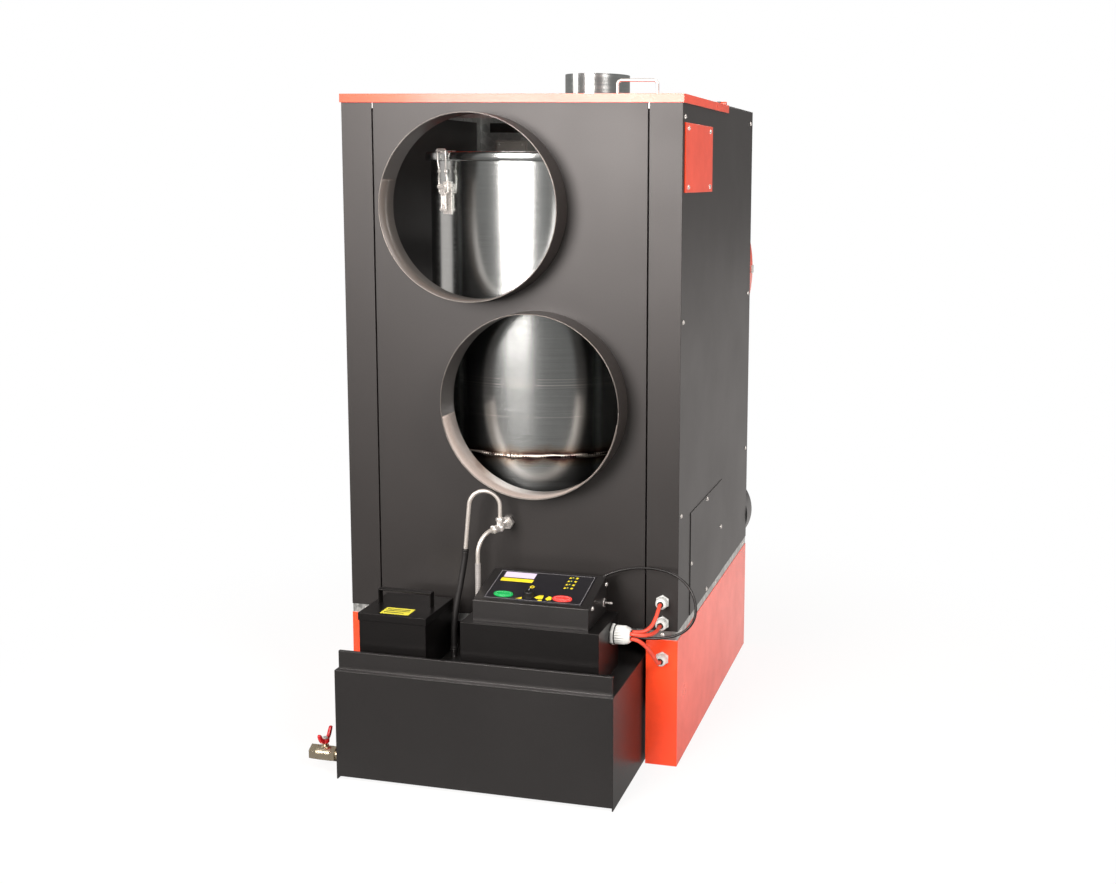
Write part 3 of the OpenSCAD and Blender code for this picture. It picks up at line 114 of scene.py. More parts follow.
def powder_coat(name, code, grain=0.0022, depth=0.00003, rough=0.42, edge=0.0012, level=0.5):
    """Polyester powder, sprayed and baked: satin, with a fine orange peel and softly rounded folds."""
    mat, tree, shader, place = begin(name, **{"IOR": 1.5, "Specular IOR Level": level})
    peel = add(tree, "TexNoise", {"Vector": place, "Scale": 1 / grain, "Detail": 3.0, "Roughness": 0.6})
    cloud = add(tree, "TexNoise", {"Vector": place, "Scale": 5.0, "Detail": 4.0, "Roughness": 0.55})
    gloss = add(tree, "MapRange", {"Value": cloud.outputs["Fac"], "From Min": 0.3, "From Max": 0.7,
                                   "To Min": rough - 0.02, "To Max": rough + 0.03})
    speck = add(tree, "MapRange", {"Value": peel.outputs["Fac"], "From Min": 0.35, "From Max": 0.7,
                                   "To Min": 0.82, "To Max": 1.18})
    tint = add(tree, "Mix", {0: 1.0, 6: linear(code), 7: speck.outputs[0]}, data_type="RGBA",
               blend_type="MULTIPLY")
    fold = add(tree, "Bevel", {"Radius": edge}, samples=4)
    bump = add(tree, "Bump", {"Height": peel.outputs["Fac"], "Distance": depth, "Strength": 1.0,
                              "Normal": fold.outputs[0]})
    tree.links.new(tint.outputs[2], shader.inputs["Base Color"])
    tree.links.new(gloss.outputs[0], shader.inputs["Roughness"])
    tree.links.new(bump.outputs[0], shader.inputs["Normal"])
    return mat


def enamel(name, code, dark):
    """Stoved glossy enamel: a clear layer over a full colour, with shallow orange peel and faint dust."""
    mat, tree, shader, place = begin(name, **{"IOR": 1.5, "Coat Weight": 0.35, "Coat Roughness": 0.12})
    peel = add(tree, "TexNoise", {"Vector": place, "Scale": 1 / 0.004, "Detail": 2.0})
    dust = add(tree, "TexNoise", {"Vector": place, "Scale": 9.0, "Detail": 8.0, "Roughness": 0.65})
    mask = add(tree, "MapRange", {"Value": dust.outputs["Fac"], "From Min": 0.35, "From Max": 0.75})
    tint = add(tree, "Mix", {0: mask.outputs[0], 6: linear(code), 7: linear(dark)}, data_type="RGBA")
    gloss = add(tree, "MapRange", {"Value": dust.outputs["Fac"], "To Min": 0.2, "To Max": 0.42})
    fold = add(tree, "Bevel", {"Radius": 0.0012}, samples=4)
    bump = add(tree, "Bump", {"Height": peel.outputs["Fac"], "Distance": 0.00005, "Normal": fold.outputs[0]})
    tree.links.new(tint.outputs[2], shader.inputs["Base Color"])
    tree.links.new(gloss.outputs[0], shader.inputs["Roughness"])
    tree.links.new(bump.outputs[0], shader.inputs["Normal"])
    return mat


def galvanised(name):
    """Hot-dip zinc on sheet: spangle cells about 12 mm across, each with its own shade and gloss."""
    mat, tree, shader, place = begin(name, **{"Metallic": 0.9})
    cell = add(tree, "TexVoronoi", {"Vector": place, "Scale": 1 / 0.012, "Randomness": 1.0})
    frost = add(tree, "TexNoise", {"Vector": place, "Scale": 1 / 0.0025, "Detail": 4.0})
    shade = add(tree, "SeparateColor", {"Color": cell.outputs["Color"]})
    both = add(tree, "Math", {0: shade.outputs[0], 1: frost.outputs["Fac"]}, operation="MULTIPLY")
    tint = add(tree, "Mix", {0: both.outputs[0], 6: linear("#A9ACAB"), 7: linear("#DDE0DE")},
               data_type="RGBA")
    gloss = add(tree, "MapRange", {"Value": shade.outputs[1], "To Min": 0.3, "To Max": 0.52})
    bump = add(tree, "Bump", {"Height": frost.outputs["Fac"], "Distance": 0.00004})
    tree.links.new(tint.outputs[2], shader.inputs["Base Color"])
    tree.links.new(gloss.outputs[0], shader.inputs["Roughness"])
    tree.links.new(bump.outputs[0], shader.inputs["Normal"])
    return mat


WELD_Z = 0.590


def brushed_stainless(name, tinted=False):
    """Stainless sheet brushed round the drum: hairlines drawn wider apart than real so that they show.

    With tinted, heat has coloured the steel beside the girth weld: straw, then brown and blue at the bead.
    """
    mat, tree, shader, place = begin(name,
                                     **{"Metallic": 1.0, "Anisotropic": 0.45, "Anisotropic Rotation": 0.25})
    hair = add(tree, "Mapping", {"Vector": place, "Scale": (3.0, 3.0, 1 / 0.0016)})
    line = add(tree, "TexNoise", {"Vector": hair.outputs[0], "Scale": 1.0, "Detail": 4.0, "Roughness": 0.7})
    wide = add(tree, "Mapping", {"Vector": place, "Scale": (7.0, 7.0, 2.2)})
    cloud = add(tree, "TexNoise", {"Vector": wide.outputs[0], "Scale": 1.0, "Detail": 6.0, "Roughness": 0.6})
    base = add(tree, "Mix", {0: cloud.outputs["Fac"], 6: linear("#A1A5A4"), 7: linear("#DBE1E1")},
               data_type="RGBA")
    lit = add(tree, "MapRange", {"Value": line.outputs["Fac"], "From Min": 0.25, "From Max": 0.75,
                                 "To Min": 0.9, "To Max": 1.08})
    tone = add(tree, "Mix", {0: 1.0, 6: base.outputs[2], 7: lit.outputs[0]}, data_type="RGBA",
               blend_type="MULTIPLY")
    colour = tone.outputs[2]
    if tinted:
        height = add(tree, "SeparateXYZ", {"Vector": place}).outputs[2]
        ragged = add(tree, "TexNoise", {"Vector": place, "Scale": 26.0, "Detail": 5.0, "Roughness": 0.6})
        sway = add(tree, "MapRange", {"Value": ragged.outputs["Fac"], "To Min": -0.014, "To Max": 0.014})
        off = add(tree, "Math", {0: height, 1: -WELD_Z}, operation="ADD")
        away = add(tree, "Math", {0: off.outputs[0]}, operation="ABSOLUTE")
        swayed = add(tree, "Math", {0: away.outputs[0], 1: sway.outputs[0]}, operation="ADD")
        for line_z, half, most in ((0.7425, 0.0009, 0.35), (0.7370, 0.0007, 0.25), (0.7310, 0.0012, 0.45),
                                   (0.7262, 0.0006, 0.3), (0.6680, 0.0008, 0.3)):
            near = add(tree, "Math", {0: height, 1: line_z, 2: half}, operation="COMPARE")
            share = add(tree, "Math", {0: near.outputs[0], 1: most}, operation="MULTIPLY")
            colour = add(tree, "Mix", {0: share.outputs[0], 6: colour, 7: linear("#FFFDF8")},
                         data_type="RGBA").outputs[2]
        for reach, code, most in ((0.024, "#B98E52", 0.4), (0.014, "#6E3A2C", 0.75), (0.007, "#3E3038", 0.8)):
            near = add(tree, "MapRange",
                       {"Value": swayed.outputs[0], "From Min": reach * 0.4, "From Max": reach,
                                          "To Min": most, "To Max": 0.0})
            colour = add(tree, "Mix", {0: near.outputs[0], 6: colour, 7: linear(code)},
                         data_type="RGBA").outputs[2]
    gloss = add(tree, "MapRange", {"Value": line.outputs["Fac"], "From Min": 0.3, "From Max": 0.7,
                                   "To Min": 0.15, "To Max": 0.27})
    bump = add(tree, "Bump", {"Height": line.outputs["Fac"], "Distance": 0.00002})
    round_z = add(tree, "Tangent", direction_type="RADIAL", axis="Z")
    tree.links.new(colour, shader.inputs["Base Color"])
    tree.links.new(gloss.outputs[0], shader.inputs["Roughness"])
    tree.links.new(bump.outputs[0], shader.inputs["Normal"])
    tree.links.new(round_z.outputs[0], shader.inputs["Tangent"])
    return mat


def plated(name, code, dull="#8E8C88", rough=0.2, size=0.004, metal=1.0):
    """Metal with a bright plating: thin cloudy stains and slightly uneven gloss."""
    mat, tree, shader, place = begin(name, **{"Metallic": metal})
    stain = add(tree, "TexNoise", {"Vector": place, "Scale": 1 / size, "Detail": 6.0, "Roughness": 0.6})
    mask = add(tree, "MapRange",
               {"Value": stain.outputs["Fac"], "From Min": 0.5, "From Max": 0.8, "To Max": 0.6})
    tint = add(tree, "Mix", {0: mask.outputs[0], 6: linear(code), 7: linear(dull)}, data_type="RGBA")
    gloss = add(tree, "MapRange",
                {"Value": stain.outputs["Fac"], "To Min": rough - 0.06, "To Max": rough + 0.12})
    fold = add(tree, "Bevel", {"Radius": 0.0005}, samples=4)
    bump = add(tree, "Bump", {"Height": stain.outputs["Fac"], "Distance": 0.00003, "Normal": fold.outputs[0]})
    tree.links.new(tint.outputs[2], shader.inputs["Base Color"])
    tree.links.new(gloss.outputs[0], shader.inputs["Roughness"])
    tree.links.new(bump.outputs[0], shader.inputs["Normal"])
    return mat


def rough_cast(name, code, dark, grain=0.0014):
    """Grey iron as it left the sand: dull, grainy, with darker scale in the hollows."""
    mat, tree, shader, place = begin(name, **{"Metallic": 0.6})
    sand = add(tree, "TexNoise", {"Vector": place, "Scale": 1 / grain, "Detail": 5.0, "Roughness": 0.65})
    tint = add(tree, "Mix", {0: sand.outputs["Fac"], 6: linear(dark), 7: linear(code)}, data_type="RGBA")
    gloss = add(tree, "MapRange", {"Value": sand.outputs["Fac"], "To Min": 0.55, "To Max": 0.8})
    bump = add(tree, "Bump", {"Height": sand.outputs["Fac"], "Distance": 0.0003})
    tree.links.new(tint.outputs[2], shader.inputs["Base Color"])
    tree.links.new(gloss.outputs[0], shader.inputs["Roughness"])
    tree.links.new(bump.outputs[0], shader.inputs["Normal"])
    return mat


def moulded(name, code, rough=0.45, grain=0.0006, depth=0.00003, **more):
    """Injection-moulded or extruded polymer: even colour, a fine mould texture and a trace of handling."""
    mat, tree, shader, place = begin(name, **{"IOR": 1.5, **more})
    skin = add(tree, "TexNoise", {"Vector": place, "Scale": 1 / grain, "Detail": 2.0})
    wipe = add(tree, "TexNoise", {"Vector": place, "Scale": 1 / 0.03, "Detail": 5.0, "Roughness": 0.6})
    shade = add(tree, "MapRange", {"Value": wipe.outputs["Fac"], "From Min": 0.3, "From Max": 0.75,
                                   "To Min": 1.04, "To Max": 0.88})
    tint = add(tree, "Mix", {0: 1.0, 6: linear(code), 7: shade.outputs[0]}, data_type="RGBA",
               blend_type="MULTIPLY")
    gloss = add(tree, "MapRange",
                {"Value": wipe.outputs["Fac"], "To Min": rough - 0.07, "To Max": rough + 0.1})
    fold = add(tree, "Bevel", {"Radius": 0.0005}, samples=4)
    bump = add(tree, "Bump", {"Height": skin.outputs["Fac"], "Distance": depth, "Normal": fold.outputs[0]})
    tree.links.new(tint.outputs[2], shader.inputs["Base Color"])
    tree.links.new(gloss.outputs[0], shader.inputs["Roughness"])
    tree.links.new(bump.outputs[0], shader.inputs["Normal"])
    return mat


BLACK_COAT = powder_coat("satin_black_powder_coat", "#1F1D1C", level=0.55)
COLLAR_COAT = powder_coat("collar_black_powder_coat", "#332F2D", rough=0.34, level=1.0)
TANK_COAT = powder_coat("tank_black_powder_coat", "#161515", depth=0.00001, rough=0.36, edge=0.002, level=0.8)
BOX_COAT = powder_coat("box_black_powder_coat", "#0B0A0A", depth=0.00001, rough=0.36, edge=0.002, level=0.36)
RED_ENAMEL = enamel("gloss_red_enamel", "#FA4A20", "#E2401E")
ZINC_SHEET = galvanised("spangled_zinc_sheet")
DRUM_STEEL = brushed_stainless("brushed_stainless_heat_tinted", tinted=True)
STAINLESS = brushed_stainless("brushed_stainless")
ZINC_PLATE = plated("bright_zinc_plate", "#E2E0DC", dull="#B4B1AC", rough=0.26, metal=0.7)
NICKEL = plated("nickel_plated_brass", "#D9CDB4", dull="#A8935F", rough=0.22)
PIPE_STEEL = plated("drawn_steel_pipe", "#CFCBC5", dull="#A39F9A", rough=0.38, metal=0.7)
ALUMINIUM = plated("cast_aluminium", "#C9CACB", rough=0.38)
IRON = rough_cast("cast_iron_scale", "#5A5654", "#2C2927")
WELD = plated("oxidised_weld_bead", "#C9C2B8", dull="#33231D", rough=0.3, size=0.009)
MOTOR_PAINT = powder_coat("semi_gloss_motor_paint", "#232425", rough=0.35)
DIPPED_RED = moulded("dipped_red_vinyl", "#B0141C", rough=0.3)
GREY_ABS = moulded("light_grey_abs", "#B4B2AC")
POLYAMIDE = moulded("white_glass_filled_polyamide", "#C8CCCA", rough=0.4)
SILICONE = moulded("red_silicone_jacket", "#D24632", rough=0.42)
HOSE = moulded("black_nitrile_hose", "#0B0A0A", rough=0.6)
SLEEVE = moulded("grey_pvc_sleeve", "#8B8987", rough=0.4)
JACKET = moulded("black_pvc_jacket", "#0B0A0A", rough=0.4)
FILM = moulded("printed_polyester_film", "#1A1A1E", rough=0.3)
GREEN = moulded("green_button_moulding", "#129A4C", rough=0.25)
STOP_RED = moulded("red_button_moulding", "#E0403A", rough=0.25)
KNOB = moulded("black_knob_moulding", "#141414", rough=0.4)
INK_YELLOW = moulded("yellow_print", "#E6D22E", rough=0.4)
INK_WHITE = moulded("white_print", "#E9E9E6", rough=0.4)
# Partly painted highlight: a bare-steel edge whose pale colour stands in for the light caught along each
# collar's front rim.
RIM_HIGHLIGHT_STEEL = plated("bare_steel_edge_with_painted_highlight", "#9A948D", dull="#5E5954", rough=0.4, size=0.03)
# Painted light: pale greys that stand in for the light falling inside the outlet collars, brighter for the
# lower one.
LOWER_COLLAR_PAINTED_LIGHT = powder_coat("painted_light_inside_lower_collar", "#8F857E", rough=0.5, level=0.8)
UPPER_COLLAR_PAINTED_LIGHT = powder_coat("painted_light_inside_upper_collar", "#4E4843", rough=0.45, level=0.8)
INK_GREEN = moulded("light_green_print", "#6FD69B", rough=0.3)
INK_ROSE = moulded("rose_print", "#F4A09A", rough=0.3)
INK_LILAC = moulded("lilac_print", "#CFC6DE", rough=0.4)
INK_GREY = moulded("grey_print", "#8C8C90", rough=0.4)
INK_DARK = moulded("dark_print", "#2A2A26", rough=0.4)
LAMP = moulded("amber_lamp_lens", "#D9A62E", rough=0.2)
LABEL = moulded("yellow_label_film", "#E3DC45", rough=0.35)
BOARD = moulded("green_laminate", "#1F5C3A", rough=0.3)
ROPE = moulded("woven_glass_rope", "#D8D3C6", rough=0.8, grain=0.002, depth=0.0004)

DRESS = {
    BLACK_COAT: "left_side_panel right_side_panel front_panel rear_panel rear_top_plate side_hatch",
    COLLAR_COAT: "upper_outlet_collar lower_outlet_collar",
    TANK_COAT: "fuel_tank control_box",
    BOX_COAT: "filler_box filler_lid pump_box",
    RED_ENAMEL: "plinth top_cover badge_plate fan_ring",
    ZINC_SHEET: "deck_frame air_duct fan_plate",
    DRUM_STEEL: "chamber_drum",
    STAINLESS: "chamber_lid flue_riser flue_stub",
    ZINC_PLATE: "cover_handle casing_screws fan_guard latch_brackets front_latch_lever front_latch_bail "
                "rear_latch_lever rear_latch_bail filler_strainer fuel_inlet pump_toggle_lever",
    PIPE_STEEL: "steel_fuel_pipes",
    NICKEL: "drain_valve_body drain_valve_ball pump_coupling",
    DIPPED_RED: "drain_valve_handle",
    ALUMINIUM: "fan_impeller blower_impeller",
    IRON: "burner_pot flame_tube gear_pump",
    MOTOR_PAINT: "blower_motor fan_motor pump_motor blower_housing",
    GREY_ABS: "fan_terminal_box",
    POLYAMIDE: "cable_glands",
    HOSE: "fuel_hoses",
    JACKET: "signal_cable",
    SILICONE: "silicone_cables",
    FILM: "control_panel",
    GREEN: "start_button",
    STOP_RED: "stop_button",
    KNOB: "power_knob",
    BOARD: "circuit_board",
    ROPE: "lid_gasket",
}
for material, names in DRESS.items():
    for name in names.split():
        nodes[name].data.materials.clear()
        nodes[name].data.materials.append(material)


# Shapes: arrays of points and of faces


def mesh_piece(name, parts, material, body, smooth=True):
    """One object at the origin from closed parts, each (points, faces), turned to a positive volume."""
    points, faces, start = [], [], 0
    for p, f in parts:
        p = np.asarray(p, float)
        points.append(p)
        fan = np.array([(row[0], row[k], row[k + 1]) for row in f for k in range(1, len(row) - 1)])
        a, b, c = (p[fan[:, k]] - p[0] for k in range(3))
        step = 1 if np.einsum("ij,ij->", a, np.cross(b, c)) > 0 else -1
        faces += [[int(i) + start for i in row[::step]] for row in f]
        start += len(p)
    data = bpy.data.meshes.new(name)
    data.from_pydata(np.concatenate(points).tolist(), [], faces)
    data.polygons.foreach_set("use_smooth", [smooth] * len(data.polygons))
    data.materials.append(material)
    data.update()
    obj = bpy.data.objects.new(name, data)
    bpy.context.scene.collection.objects.link(obj)
    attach(obj, body)
    return obj


def grid_faces(rows, cols, wrap=True):
    """Quads of a grid of rows by cols points; with wrap the last column joins the first."""
    r = np.arange(rows - 1)[:, None]
    c = np.arange(cols if wrap else cols - 1)[None, :]
    d = (c + 1) % cols
    quads = np.stack([r * cols + c, r * cols + d, (r + 1) * cols + d, (r + 1) * cols + c], -1)
    return quads.reshape(-1, 4).tolist()


def capped(ring_count, cols):
    """End faces of a tube of rings: the first seen from behind, the last from ahead."""
    last = (ring_count - 1) * cols
    return [list(range(cols))[::-1], list(range(last, last + cols))]


def frames(path):
    """Tangent, side and up at each point of a path; the side turns as little as it can between points."""
    t = np.gradient(path, axis=0)
    t /= np.linalg.norm(t, axis=1)[:, None]
    side = np.cross(t[0], [0.3, 0.2, 1.0])
    sides = []
    for k in range(len(path)):
        side = side - t[k] * np.dot(side, t[k])
        side = side / np.linalg.norm(side)
        sides.append(side)
    sides = np.array(sides)
    return t, sides, np.cross(t, sides)


def tube(path, radius, cols=16):
    """A round tube: at each path point a circle of the radius there, square to the path."""
    path = np.asarray(path, float)
    _, s, u = frames(path)
    a = np.linspace(0, 2 * np.pi, cols, endpoint=False)
    r = np.broadcast_to(np.asarray(radius, float), (len(path),))[:, None, None]
    pts = path[:, None] + r * (np.cos(a)[None, :, None] * s[:, None] + np.sin(a)[None, :, None] * u[:, None])
    return pts.reshape(-1, 3), grid_faces(len(path), cols) + capped(len(path), cols)


def lathe(profile, cols=48, wave=None, hollow=False):
    """A profile of (radius, height) turned round Z; wave gives a factor on the radius for (row, angle).

    A hollow piece's profile runs outside upward and inside downward, and its last row joins its first.
    """
    profile = np.asarray(profile, float)
    a = np.linspace(0, 2 * np.pi, cols, endpoint=False)
    r = profile[:, :1] * (1 if wave is None else wave(np.arange(len(profile))[:, None], a[None]))
    r = np.broadcast_to(r, (len(profile), cols))
    pts = np.stack([r * np.cos(a), r * np.sin(a), np.repeat(profile[:, 1:], cols, 1)], -1).reshape(-1, 3)
    if not hollow:
        return pts, grid_faces(len(profile), cols) + capped(len(profile), cols)
    last = (len(profile) - 1) * cols
    join = [[last + k, last + (k + 1) % cols, (k + 1) % cols, k] for k in range(cols)]
    return pts, grid_faces(len(profile), cols) + join


def layers(outline, steps, centre=(0.0, 0.0)):
    """A closed flat outline stacked in layers: each step gives how far it is drawn in and its height."""
    outline, centre = np.asarray(outline, float), np.asarray(centre, float)
    size = np.linalg.norm(outline - centre, axis=1)[:, None]
    rows = [np.c_[centre + (outline - centre) * (size - inset) / size, np.full(len(outline), z)] for inset,
            z in steps]
    return np.concatenate(rows), grid_faces(len(rows), len(outline)) + capped(len(rows), len(outline))


def ellipse(a, b, n=64):
    w = np.linspace(0, 2 * np.pi, n, endpoint=False)
    return np.c_[a * np.cos(w), b * np.sin(w)]


def rounded(x, y, r, n=6):
    """Corners of a rectangle from x[0] to x[1] and y[0] to y[1], each rounded by an arc of radius r."""
    w = np.linspace(0, np.pi / 2, n)
    corners = ((x[1] - r, y[1] - r, 0), (x[0] + r, y[1] - r, 1), (x[0] + r, y[0] + r, 2),
               (x[1] - r, y[0] + r, 3))
    return np.array([(cx + r * math.cos(k * math.pi / 2 + v), cy + r * math.sin(k * math.pi / 2 + v))
                     for cx, cy, k in corners for v in w])


def arc_strip(centre, section, start, end, n=96):
    """A closed section of (radius, y) swept round a Y axis from one angle to another, with flat ends."""
    section, w = np.asarray(section, float), np.radians(np.linspace(start, end, n))[:, None]
    y = np.broadcast_to(section[:, 1], (n, len(section)))
    pts = np.stack([centre[0] + section[:, 0] * np.cos(w), y, centre[1] + section[:, 0] * np.sin(w)], -1)
    return pts.reshape(-1, 3), grid_faces(n, len(section)) + capped(n, len(section))


def hexagon(radius, rows, cols=72):
    """A lathe on a hexagon: each row is a share of the corner radius, a height and how hexagonal it is."""
    flat = math.cos(math.pi / 6)

    def wave(row, a):
        side = flat / np.cos((a % (np.pi / 3)) - np.pi / 6)
        return np.minimum(side, flat + (1 - flat) * np.array([k[2] for k in rows])[row])
    return lathe([(radius * k[0], k[1]) for k in rows], cols, wave)


def turned(shape, origin, x, z):
    return oriented(shape[0], origin, x, z), shape[1]


def smooth_path(points, step=0.004):
    """A curve through the points (Catmull-Rom: each stretch leans on its two neighbours), at even steps."""
    p = np.asarray(points, float)
    p = np.vstack([2 * p[0] - p[1], p, 2 * p[-1] - p[-2]])
    t = np.linspace(0, 1, 24, endpoint=False)[:, None]
    runs = []
    for a, b, c, d in zip(p[:-3], p[1:-2], p[2:-1], p[3:]):
        runs.append(0.5 * (2 * b + (c - a) * t + (2 * a - 5 * b + 4 * c - d) * t ** 2
                           + (3 * b - 3 * c + d - a) * t ** 3))
    q = np.vstack(runs + [p[-2][None]])
    run = np.concatenate([[0], np.cumsum(np.linalg.norm(np.diff(q, axis=0), axis=1))])
    even = np.linspace(0, run[-1], max(8, int(run[-1] / step)))
    return np.stack([np.interp(even, run, q[:, k]) for k in range(3)], 1), float(run[-1])


def oriented(points, origin, x, z):
    """Points carried from their own frame to one with the given origin, X and Z."""
    z = np.asarray(z, float) / np.linalg.norm(z)
    x = np.asarray(x, float)
    x = x - z * np.dot(x, z)
    x /= np.linalg.norm(x)
    return np.asarray(origin) + np.asarray(points) @ np.stack([x, np.cross(z, x), z])


# Cords first: the routes are the part's own, in millimetres
RED_TOP = [(271, -430, 294), (276, -430, 294), (284, -429, 294), (294, -424, 295), (303, -413, 301),
           (308, -399, 312), (310, -385, 324), (310, -375, 330), (310, -370, 330)]
RED_MID = [(271, -442, 294), (276, -442, 294), (286, -441, 293), (297, -434, 291), (306, -420, 289),
           (310, -400, 288), (310, -384, 288), (310, -370, 288)]
RED_LOW = [(271, -440, 284), (276, -440, 284), (284, -439, 282), (293, -433, 274), (301, -421, 259),
           (307, -405, 239), (310, -388, 222), (310, -377, 217), (310, -370, 217)]
SIGNAL = [(190, -394, 372), (190, -388, 372), (196, -378, 377), (214, -374, 386), (240, -374, 395),
          (272, -378, 402), (306, -384, 404), (338, -392, 400), (364, -400, 388), (381, -408, 370),
          (389, -414, 348), (388, -420, 326), (376, -425, 307), (355, -429, 294), (326, -431, 287),
          (300, -432, 285), (282, -432, 285), (271, -432, 285)]
FEED = [(-28, -446, 408), (-28, -446, 392), (-28, -446, 374), (-28, -446, 356), (-28, -446, 340)]
# The return hose starts at the looped pipe's end and ends on the tray's tail, by these shares of the way
PIPE_END, TRAY_TAIL = np.array([-69.87, -405.79, 417.97]), np.array([-85, -430, 226])
RETURN = [PIPE_END + np.array(s) * (TRAY_TAIL - PIPE_END) for s in (
    (0, 0, 0), (0.067, 0.042, 0.073), (0.267, 0.208, 0.208), (0.467, 0.458, 0.354),
    (0.733, 0.708, 0.51), (0.933, 0.917, 0.688), (1, 1, 0.844), (1, 1, 1))]


def cord(name, route, radius, material, node, rib=0.0):
    """A cord along a route.

    With rib, its radius swells by half a cosine of the length, one rib each rib metres.
    """
    path, length = smooth_path(np.array(route) * MM, rib / 8 if rib else 0.004)
    run = np.linspace(0, length, len(path))
    swell = 0.00025 * (1 - np.cos(2 * np.pi * run / rib)) if rib else 0 * run
    obj = mesh_piece(name, [tube(path, radius + swell, 20)], material, "casing")
    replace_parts(obj, node)
    return obj


cord("upper_silicone_cable", RED_TOP, 0.00375, SILICONE, "silicone_cables")
cord("middle_silicone_cable", RED_MID, 0.00375, SILICONE, "silicone_cables")
cord("lower_silicone_cable", RED_LOW, 0.00375, SILICONE, "silicone_cables")
cord("signal_lead", SIGNAL, 0.0025, JACKET, "signal_cable")
cord("return_hose", RETURN, 0.006, HOSE, "fuel_hoses")
cord("feed_hose", FEED, 0.005, SLEEVE, "fuel_hoses", rib=0.0036)


# Places that several pieces share, in metres
DRUM, DRUM_R = np.array([-0.012, -0.070]), 0.246
LATCH_TURN = -36
UPPER_OUTLET, LOWER_OUTLET = (-0.060, 1.077), (0.060, 0.705)
CASING_SIDE, CASING_BACK, CASING_FOOT, CASING_RISE = 340, 350, 272, 1016
GLAND_HEIGHTS = (0.330, 0.288, 0.217)
FAN_Z, BLOWER_X, BLOWER_Z = 0.920, 0.250, 0.324
VALVE_X, VALVE_Y = -0.310, -0.527
DIAL_X, DIAL_Y, START_X, STOP_X = 102, 26, 51, 166
LAMP_HEIGHTS = (64, 76, 88, 100)
UP, RIGHT, AHEAD, BACK = (0, 0, 1), (1, 0, 0), (0, -1, 0), (0, 1, 0)
SLOPE_Y, SLOPE_Z = np.array([0, 0.97064, 0.24052]), np.array([0, -0.24052, 0.97064])
SLOPE_AT = np.array([-0.014, -0.507, 0.357])


def on_slope(shape, x=0.0, y=0.0, z=0.0):
    """Carries a piece onto the control box's sloping top, in millimetres to the right, up and out of it."""
    return turned(shape, SLOPE_AT + np.array([x, 0, 0]) * MM + SLOPE_Y * y * MM + SLOPE_Z * z * MM, RIGHT,
                  SLOPE_Z)


def on_latch(points, turn):
    """Carries points from a latch's frame (along the drum, outward, up, in millimetres) to the part's."""
    p = np.asarray(points, float) * MM
    a = math.radians(turn)
    along, out = np.array([math.cos(a), math.sin(a), 0]), np.array([math.sin(a), -math.cos(a), 0])
    return np.array([*DRUM, 0]) + out * DRUM_R + p[:, :1] * along + p[:, 1:2] * out + p[:, 2:] * np.array(UP)


# Girth weld: a bead whose radius swells with each pass of the rod, 5 mm apart, and wanders up and down
turn_a = np.linspace(0, 2 * np.pi, 1440, endpoint=False)
bead_r = 0.0030 + 0.0005 * np.abs(np.sin(turn_a * 151)) - 0.0006 * np.abs(np.sin(turn_a * 23 + 1)
                                                                          * np.sin(turn_a * 7))
for at, wide, high in ((-4, 1.2, 1.0), (-1, 0.9, 1.8), (1, 0.6, 2.6), (2.6, 0.7, 2.2), (5, 1.1, 1.2),
                       (12, 2, 0.5), (34, 3, 0.5)):
    bead_r += high * MM * np.exp(-((np.degrees(turn_a) - 270 - at) / wide) ** 2)
bead_z = WELD_Z + 0.0009 * np.sin(turn_a * 9) + 0.0005 * np.sin(turn_a * 31 + 2)
ring_b = np.linspace(0, 2 * np.pi, 12, endpoint=False)
bead_out = DRUM_R - 0.0002 + bead_r[:, None] * np.cos(ring_b)
bead = np.stack([DRUM[0] + bead_out * np.cos(turn_a)[:, None], DRUM[1] + bead_out * np.sin(turn_a)[:, None],
                 bead_z[:, None] + bead_r[:, None] * 1.25 * np.sin(ring_b)], -1).reshape(-1, 3)
bead_faces = [[r0 * 12 + c, r0 * 12 + (c + 1) % 12, ((r0 + 1) % 1440) * 12 + (c + 1) % 12,
               ((r0 + 1) % 1440) * 12 + c]
              for r0 in range(1440) for c in range(12)]
mesh_piece("girth_weld_bead", [(bead, [f[::-1] for f in bead_faces])], WELD, "casing")

# Rolled rim of the lid: a half round 2.8 mm proud of the skirt, very slightly wavy as a pressed edge is
SKIRT_R, ROLL_Z, ROLL_OUT, ROLL_HALF = 0.2540, 1.1740, 0.0028, 0.0089
roll = [(SKIRT_R + ROLL_OUT * math.sin(k), ROLL_Z - ROLL_HALF * math.cos(k))
        for k in np.linspace(0, np.pi, 15)]
roll += [(SKIRT_R - MM, ROLL_Z + ROLL_HALF), (SKIRT_R - MM, ROLL_Z - ROLL_HALF)]
roll_pts, roll_faces = lathe(roll, 240,
                             lambda row, a: 1 + 0.0003 * np.sin(7 * a) * np.sin(3 * a + 1), True)
mesh_piece("lid_rolled_rim", [(roll_pts + (DRUM[0], DRUM[1], 0), roll_faces)], STAINLESS, "casing")

# Outlet collars: on each front edge a thin bare-steel ring, pale to stand in for the highlight it catches,
# and inside each a thin band painted with the light that falls on the collar's inner lower part, brighter in
# the lower collar
edge = [(0.1762, -0.4080), (0.1774, -0.4080), (0.1773, -0.4082), (0.1763, -0.4082)]
parts = [arc_strip(c, edge, 0, 359.99, 192) for c in (UPPER_OUTLET, LOWER_OUTLET)]
mesh_piece("collar_edge_painted_highlights", parts, RIM_HIGHLIGHT_STEEL, "casing")
# Painted light: these bands are no part of the collar, only the light that falls on its inside.
lit_band = [(0.1752, -0.4079), (0.1746, -0.4077), (0.1746, -0.3505), (0.1752, -0.3503)]
mesh_piece("lower_collar_painted_light", [arc_strip(LOWER_OUTLET, lit_band, 188.5, 352)], LOWER_COLLAR_PAINTED_LIGHT, "casing")
mesh_piece("upper_collar_painted_light", [arc_strip(UPPER_OUTLET, lit_band, 163, 300)], UPPER_COLLAR_PAINTED_LIGHT, "casing")

